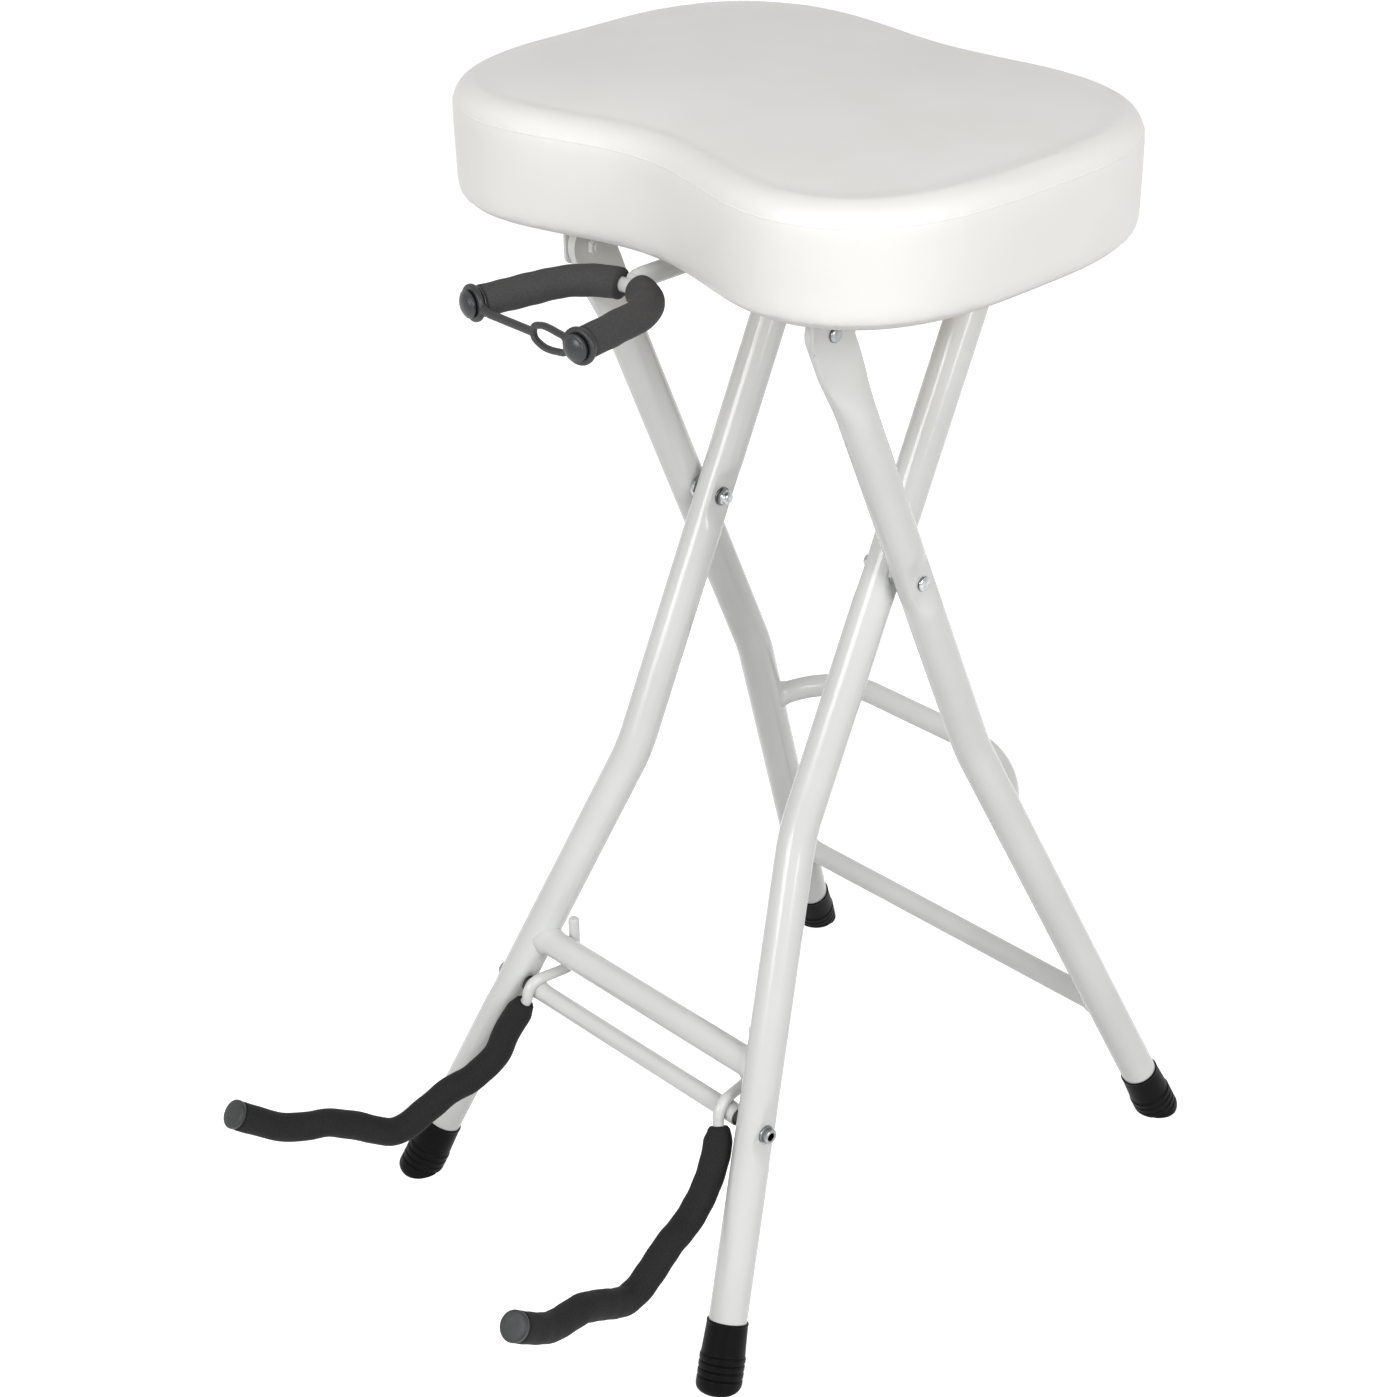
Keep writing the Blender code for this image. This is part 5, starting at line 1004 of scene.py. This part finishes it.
# %% [markdown]
# The strap is one rubber moulding: a ring for each cap, a slim band, and a pull loop with a slot
# for a finger beside the right ring. A mould leaves soft corners everywhere. So the parts are made
# as overlapping sweeps, melted into one by a voxel remesh, and smoothed, as clay would be.

# %% Pull strap
def signed_power(values, power):
    """A power of the size of each value, with the value's own sign."""
    return np.sign(values) * np.abs(values) ** power


def flat_sweep(route, half_height, half_depth, flat_axis, closed):
    """A route with a rounded-rectangle section: |x/h|^3 + |y/d|^3 = 1, a superellipse."""
    runs = ring_runs(route) if closed else np.gradient(route, axis=0)
    aside = unit(np.cross(runs, flat_axis))
    angle = once_round(24)
    u = half_height * signed_power(np.cos(angle), 2.0 / 3.0)
    v = half_depth * signed_power(np.sin(angle), 2.0 / 3.0)
    return route[:, None] + u[:, None] * aside[:, None] + v[:, None] * np.asarray(flat_axis)


strap_ring_radius = 0.0092
groove_half_width = 0.0026
groove_middle = cap_place + (cap_flange + groove_half_width) * prong_way
circle = once_round(64)[:, None]
ring = groove_middle + strap_ring_radius * (np.cos(circle) * np.cross(prong_way, upwards)
                                            + np.sin(circle) * upwards)
ring_grid = flat_sweep(ring, 0.0021, 0.0020, prong_way, True)
shells = [(mirror(ring_grid, sign), True) for side, sign in sides]
straight_y = groove_middle[1] - 0.011 * tan(opening)
edge_x = groove_middle[0] - 0.0105
band_height = hanger_height - 0.0016
band = np.array(((-edge_x - 0.002, straight_y + 0.0004, hanger_height),
                 (-edge_x + 0.006, straight_y, band_height),
                 (edge_x - 0.026, straight_y, band_height)))
shells.append((flat_sweep(even_steps(band, 0.001), 0.0025, 0.0020, rearwards, False), False))
loop_points = np.array(((-0.0256, 0.0, -0.0030), (-0.0250, 0.0, 0.0040), (-0.0210, 0.0, 0.0056),
                        (-0.0060, 0.0, 0.0056), (0.0010, 0.0, 0.0042), (0.0010, 0.0, -0.0042),
                        (-0.0060, 0.0, -0.0060), (-0.0215, 0.0, -0.0054)))
cubic = hermite(np.vstack((loop_points[-1:], loop_points, loop_points[:2])), across, 10)
loop = cubic[10:10 + 10 * len(loop_points)] + np.array((edge_x, straight_y, band_height))
shells.append((flat_sweep(loop, 0.0020, 0.0019, rearwards, True), True))
strap = make_piece("pull_strap", shells, strap_rubber, "hanger", ["retainer_strap"])
set_up(strap.modifiers.new("melt together", "REMESH"), mode="VOXEL", voxel_size=0.00045,
       use_smooth_shade=True)
set_up(strap.modifiers.new("soften", "SMOOTH"), factor=0.5, iterations=4)

# %% [markdown]
# The cushion is a vinyl cover over foam on a board. Seen from above it is two broad lobes with a
# waist. Each coordinate of the outline is a power of a cosine or a sine, and a bell curve draws the
# depth in, more at the front than at the rear. Points are spread evenly along the edge.

# %% Outline of the seat
seat_half_width = 0.2023
lobe_depth = 0.1712
waist_width = 0.1058
front_waist_share = 0.274
rear_waist_share = 0.123
seat_underside = hinge[2] + seat_hinge_drop
seat_middle_y = hinge[1] + 0.0732
wall_top = seat_underside + 0.0717


def seat_outline(count):
    """x = width |cos|^0.724, y = depth |sin|^0.653 (1 - share exp(-(x / waist width)^2))."""
    turn = np.linspace(0.0, 2.0 * pi, 2881)
    x = seat_half_width * signed_power(np.cos(turn), 0.724)
    share = np.where(np.sin(turn) < 0.0, front_waist_share, rear_waist_share)
    waist = share * np.exp(-((x / waist_width) ** 2))
    y = lobe_depth * signed_power(np.sin(turn), 0.653) * (1.0 - waist)
    fine = np.column_stack((x, seat_middle_y + y))
    return at_lengths(fine, np.linspace(0.0, run_lengths(fine)[-1], count, endpoint=False))


def inset_ring(outline, inset, height):
    """The outline moved inwards, square to its own edge, as a level ring."""
    run = ring_runs(outline)
    inward = np.column_stack((-run[:, 1], run[:, 0]))
    return np.column_stack((outline + inset * inward, np.full(len(outline), height)))


# %% [markdown]
# Up the side, the profile is: a soft turn of 8.5 mm under the edge, a wall that leans out a
# little, a turn of 14.5 mm onto the top, and a low crown. The form is made slightly small, because
# the cloth solver will blow it up. A voxel remesh turns it into even quads, which cloth needs.

# %% Form of the cushion
shrink = 0.0010
low_turn = 0.0085
top_turn = 0.0145
top_overhang = 0.0008
seat_crown = 0.0065
outline = seat_outline(360)
lean = np.linspace(0.0, pi / 2.0, 9)
rise = [(0.0200, 0.0070), (0.0110, 0.0060)]
rise += [(low_turn - low_turn * sin(a) + 0.0006, low_turn - low_turn * cos(a)) for a in lean]
rise += [(0.0002, 0.020), (-0.0004, 0.034), (-top_overhang, 0.048)]
profile = [(inset, seat_underside + height) for inset, height in rise]
profile += [(top_turn - top_turn * cos(a) - top_overhang, wall_top - top_turn + top_turn * sin(a))
            for a in lean]
rings = [inset_ring(outline, inset + shrink, height) for inset, height in profile]
edge_ring = inset_ring(outline, top_turn + shrink - top_overhang, wall_top)
middle = np.array((0.0, seat_middle_y, wall_top))
for share in np.linspace(0.96, 0.04, 24):
    ring = middle + share * (edge_ring - middle)
    ring[:, 2] = wall_top - shrink + seat_crown * (1.0 - share**2)
    rings.append(ring)
cushion = make_piece("seat_cushion", [(np.array(rings), False)], vinyl, "seat",
                     ["seat_cover", "seat_foam"], 180.0)


def apply_modifiers(piece):
    """Put the piece's evaluated shape into its own mesh, and drop its modifiers."""
    view = bpy.context.evaluated_depsgraph_get()
    made = bpy.data.meshes.new_from_object(piece.evaluated_get(view), depsgraph=view)
    piece.modifiers.clear()
    piece.data = made


def points_of(mesh):
    """All points of a mesh as one array."""
    flat = np.empty(3 * len(mesh.vertices), np.float32)
    mesh.vertices.foreach_get("co", flat)
    return flat.reshape(-1, 3).astype(float)


set_up(cushion.modifiers.new("even quads", "REMESH"), mode="VOXEL", voxel_size=0.0045,
       use_smooth_shade=True)
bpy.context.view_layer.update()
apply_modifiers(cushion)
print("cushion:", len(cushion.data.vertices), "points after the remesh")

# %% [markdown]
# Cloth simulation gives the cover its fullness: air pressure inside pushes the vinyl out against
# its own stretch, with gravity off. Foam is firm, so no point may move more than 1.4 mm, and near
# the board, where the cover is stapled, the movement fades to nothing. The foam also spreads the
# load, so each point's movement is evened out with its neighbours'.

# %% Blow the cover up
last_frame = 20


def edges_of(mesh):
    """The two points of each edge, as an array of pairs."""
    flat = np.empty(2 * len(mesh.edges), np.int32)
    mesh.edges.foreach_get("vertices", flat)
    return flat.reshape(-1, 2)


def evened(field, edges, rounds):
    """Each point's value goes half way to the mean of its neighbours' values, again and again."""
    neighbours = np.bincount(edges.ravel(), minlength=len(field))[:, None]
    for _ in range(rounds):
        total = np.zeros_like(field)
        np.add.at(total, edges[:, 0], field[edges[:, 1]])
        np.add.at(total, edges[:, 1], field[edges[:, 0]])
        field = 0.5 * field + 0.5 * total / neighbours
    return field


def simulate(piece, limit, board_height):
    """Twenty frames of cloth under pressure, the movement then capped and faded at the board."""
    before = points_of(piece.data)
    cloth = piece.modifiers.new("cloth", "CLOTH")
    set_up(cloth.settings, quality=6, mass=0.4, tension_stiffness=18.0,
           compression_stiffness=18.0, shear_stiffness=6.0, bending_stiffness=2.0,
           use_pressure=True, uniform_pressure_force=4.0)
    cloth.settings.effector_weights.gravity = 0.0
    cloth.collision_settings.use_collision = False
    set_up(cloth.point_cache, frame_start=1, frame_end=last_frame)
    for frame_number in range(1, last_frame + 1):
        bpy.context.scene.frame_set(frame_number)
    view = bpy.context.evaluated_depsgraph_get()
    moved = points_of(piece.evaluated_get(view).data) - before
    piece.modifiers.clear()
    bpy.context.scene.frame_set(1)
    size = np.linalg.norm(moved, axis=1)
    allowed = limit * smoothstep((before[:, 2] - board_height) / 0.030)
    moved = moved * np.minimum(1.0, allowed / np.maximum(size, 1e-9))[:, None]
    moved = evened(moved, edges_of(piece.data), 40)
    piece.data.vertices.foreach_set("co", (before + moved).astype(np.float32).ravel())
    piece.data.update()
    print("cloth moved up to", round(1000.0 * float(np.linalg.norm(moved, axis=1).max()), 2), "mm")


simulate(cushion, 0.0014, seat_underside + 0.008)
set_up(cushion.modifiers.new("finer", "SUBSURF"), levels=1, render_levels=1)
apply_modifiers(cushion)
cushion.data.shade_smooth()
print("cushion, mm:", [round(1000.0 * side, 1) for side in np.ptp(points_of(cushion.data), axis=0)])

# %% [markdown]
# The top panel is sewn to the side band, and the seam runs round the cushion 11.5 mm below the
# edge of the top. A remesh would erase it, so it comes after: rays shot inwards find the cover's
# skin, and a thin rounded welt, 0.9 mm wide, is laid along the points that they hit.

# %% Seam round the cushion
seam_drop = 0.0115
skin_finder = BVHTree.FromPolygons([tuple(p) for p in points_of(cushion.data)],
                                   [tuple(f.vertices) for f in cushion.data.polygons])


def on_the_skin(ring, inward):
    """Where rays from outside, aimed inwards, first meet the cover."""
    hits = []
    for start, way in zip(ring, inward):
        hit = skin_finder.ray_cast(Vector(start - 0.02 * way), Vector(way), 0.06)[0]
        hits.append(start if hit is None else np.array(hit))
    return np.array(hits)


welt_outline = seat_outline(1200)
level = inset_ring(welt_outline, 0.0, wall_top - seam_drop)
inward = inset_ring(welt_outline, 1.0, wall_top - seam_drop) - level
welt_route = on_the_skin(level, inward)
for _ in range(12):
    welt_route = 0.5 * welt_route + 0.25 * (np.roll(welt_route, 1, axis=0)
                                            + np.roll(welt_route, -1, axis=0))
welt = flat_sweep(welt_route + 0.0001 * inward, 0.00042, 0.00045, upwards, True)
make_piece("seat_seam", [(welt, True)], vinyl, "seat", [], 80.0)

# %% [markdown]
# Under the seat the cover is folded over the board and stapled. Where the edge curves, the spare
# vinyl gathers into small pleats. The hem is a strip over two parameters: round the seat, and from
# the soft lower edge in over the board. Pleats are a wave in height that grows inwards.

# %% Hem under the seat
hem_inset = 0.0101
hem_width = 0.0150
hem_turn = low_turn + 0.0003
pleat_depth = 0.0009
hem_outline = seat_outline(900)
round_angle = once_round(900)
pleat = 0.5 + 0.5 * np.cos(96.0 * round_angle + 2.0 * np.sin(5.0 * round_angle))
pleat = pleat ** 3 * (0.4 + 0.6 * np.abs(np.sin(2.0 * round_angle)) ** 2)
hem = [inset_ring(hem_outline, low_turn + 0.0016 - hem_turn * cos(a),
                  seat_underside + low_turn - hem_turn * sin(a))
       for a in np.radians(np.linspace(76.0, 90.0, 4))]
for k in np.linspace(0.1, 1.0, 10):
    row = inset_ring(hem_outline, hem_inset + hem_width * k, seat_underside - 0.0003)
    row[:, 2] -= pleat_depth * k * pleat
    hem.append(row)
for k in np.linspace(1.0, 0.0, 6):
    hem.append(inset_ring(hem_outline, hem_inset + hem_width * k, seat_underside + 0.0009))
hem.append(inset_ring(hem_outline, 0.0060, seat_underside + 0.0040))
make_piece("seat_hem", [(np.array(hem), True)], vinyl, "seat", [], 60.0)

# %% Staples of the hem
staple_half = 0.0048
staple_leg = 0.0022 * upwards
staples = []
staple_ring = inset_ring(seat_outline(64), 0.0195, seat_underside - 0.0008)
for place, way in zip(staple_ring, ring_runs(staple_ring)):
    first, last = place - staple_half * way, place + staple_half * way
    wire = rounded_route((first + staple_leg, first, last, last + staple_leg), (0.0006, 0.0006),
                         0.0012)
    staples.append((sweep(wire, 0.0004, np.cross(way, upwards), 6), False))
make_piece("seat_staples", staples, zinc, "seat", [])

# %% [markdown]
# Some CAD pieces already have the right shape: brackets, washers, screws, the saddle, the guides,
# the board. They stay, and only get their finish.

# %% Finishes of the pieces that stay
finish_of_slot = {"white_enamel": enamel, "white_vinyl": vinyl, "seat_foam": foams["cradle"],
                  "plywood": plywood, "black_rubber": boot_rubber, "grip_foam": foams["cradle"],
                  "grey_cap": tip_plastic, "black_cap": cap_plastic,
                  "strap_rubber": strap_rubber, "cap_screw_steel": dark_steel, "zinc": zinc,
                  "black_nylon": nylon}
slot_of_node = {row["node"]: row["material_slot"] for row in frame["record"]["subparts"]}
for node, thing in frame["nodes"].items():
    thing.data.materials.clear()
    thing.data.materials.append(finish_of_slot[slot_of_node[node]])
print(len(slot_of_node), "CAD nodes have their finish")

# %% [markdown]
# The photo was taken on white, in soft light from the camera's side: the walls of the seat are
# brighter than its top, and the legs grow darker towards the floor. So two square lamps stand
# near, at the camera's left and right, about half a metre above the seat's underside. From there
# they draw a bright streak on the tubes above the pivot and none below it. A faint lamp hangs
# overhead. The floor and the sky are plain white to the camera and to reflections, by the Light
# Path node, and only a pale grey to the light that falls on the stool.

# %% Floor, sky and lamps
floor_half = 12.0
lamps_look_at = Vector((0.0, 0.06, 0.66))
white = (1.0, 1.0, 1.0, 1.0)


def seen_directly(tree):
    """1 for the camera's own rays, and for those that metal or glass send on."""
    path = add(tree, "ShaderNodeLightPath").outputs
    seen_or_mirrored = combined(tree, "MAXIMUM", path["Is Camera Ray"], path["Is Glossy Ray"])
    return combined(tree, "MAXIMUM", seen_or_mirrored, path["Is Transmission Ray"])


paper, tree, shader = new_material("white paper floor", IOR=1.45, Roughness=0.9,
                                   Emission_Color=white)
paper_tone = mixed(tree, seen_directly(tree), linear("#9A9A9A"), linear("#F2F2F2"))
tree.links.new(paper_tone, shader.inputs["Base Color"])
glow = combined(tree, "MULTIPLY", seen_directly(tree), 0.68)
tree.links.new(glow, shader.inputs["Emission Strength"])
mesh = bpy.data.meshes.new("paper_floor")
mesh.from_pydata([(-floor_half, -floor_half, 0.0), (floor_half, -floor_half, 0.0),
                  (floor_half, floor_half, 0.0), (-floor_half, floor_half, 0.0)], [],
                 [(0, 1, 2, 3)])
mesh.materials.append(paper)
floor = new_object("paper_floor", mesh)

world = bpy.data.worlds.new("white studio")
world.use_nodes = True
bpy.context.scene.world = world
tree = world.node_tree
sky = tree.nodes["Background"]
strength = add(tree, "ShaderNodeMapRange", {"Value": seen_directly(tree), "To Min": 0.475,
                                            "To Max": 1.0})
tree.links.new(strength.outputs["Result"], sky.inputs["Strength"])
sky.inputs["Color"].default_value = white


def soft_lamp(name, azimuth, elevation, distance, size, power):
    """A square area lamp that looks at the seat; azimuth as for the camera."""
    lamp_data = set_up(bpy.data.lights.new(name, "AREA"), shape="SQUARE", size=size, energy=power)
    lamp = new_object(name, lamp_data)
    a, e = radians(azimuth), radians(elevation)
    way = Vector((sin(a) * cos(e), -cos(a) * cos(e), sin(e)))
    lamp.location = lamps_look_at + distance * way
    lamp.rotation_mode = "QUATERNION"
    lamp.rotation_quaternion = (-way).to_track_quat("-Z", "Y")


soft_lamp("key lamp", 4.0, 17.5, 1.8, 0.8, 14.0)
soft_lamp("fill lamp", 80.0, 17.0, 2.1, 1.0, 21.5)
soft_lamp("top lamp", 200.0, 70.0, 2.4, 1.4, 0.6)
bpy.context.scene.view_settings.view_transform = "Standard"
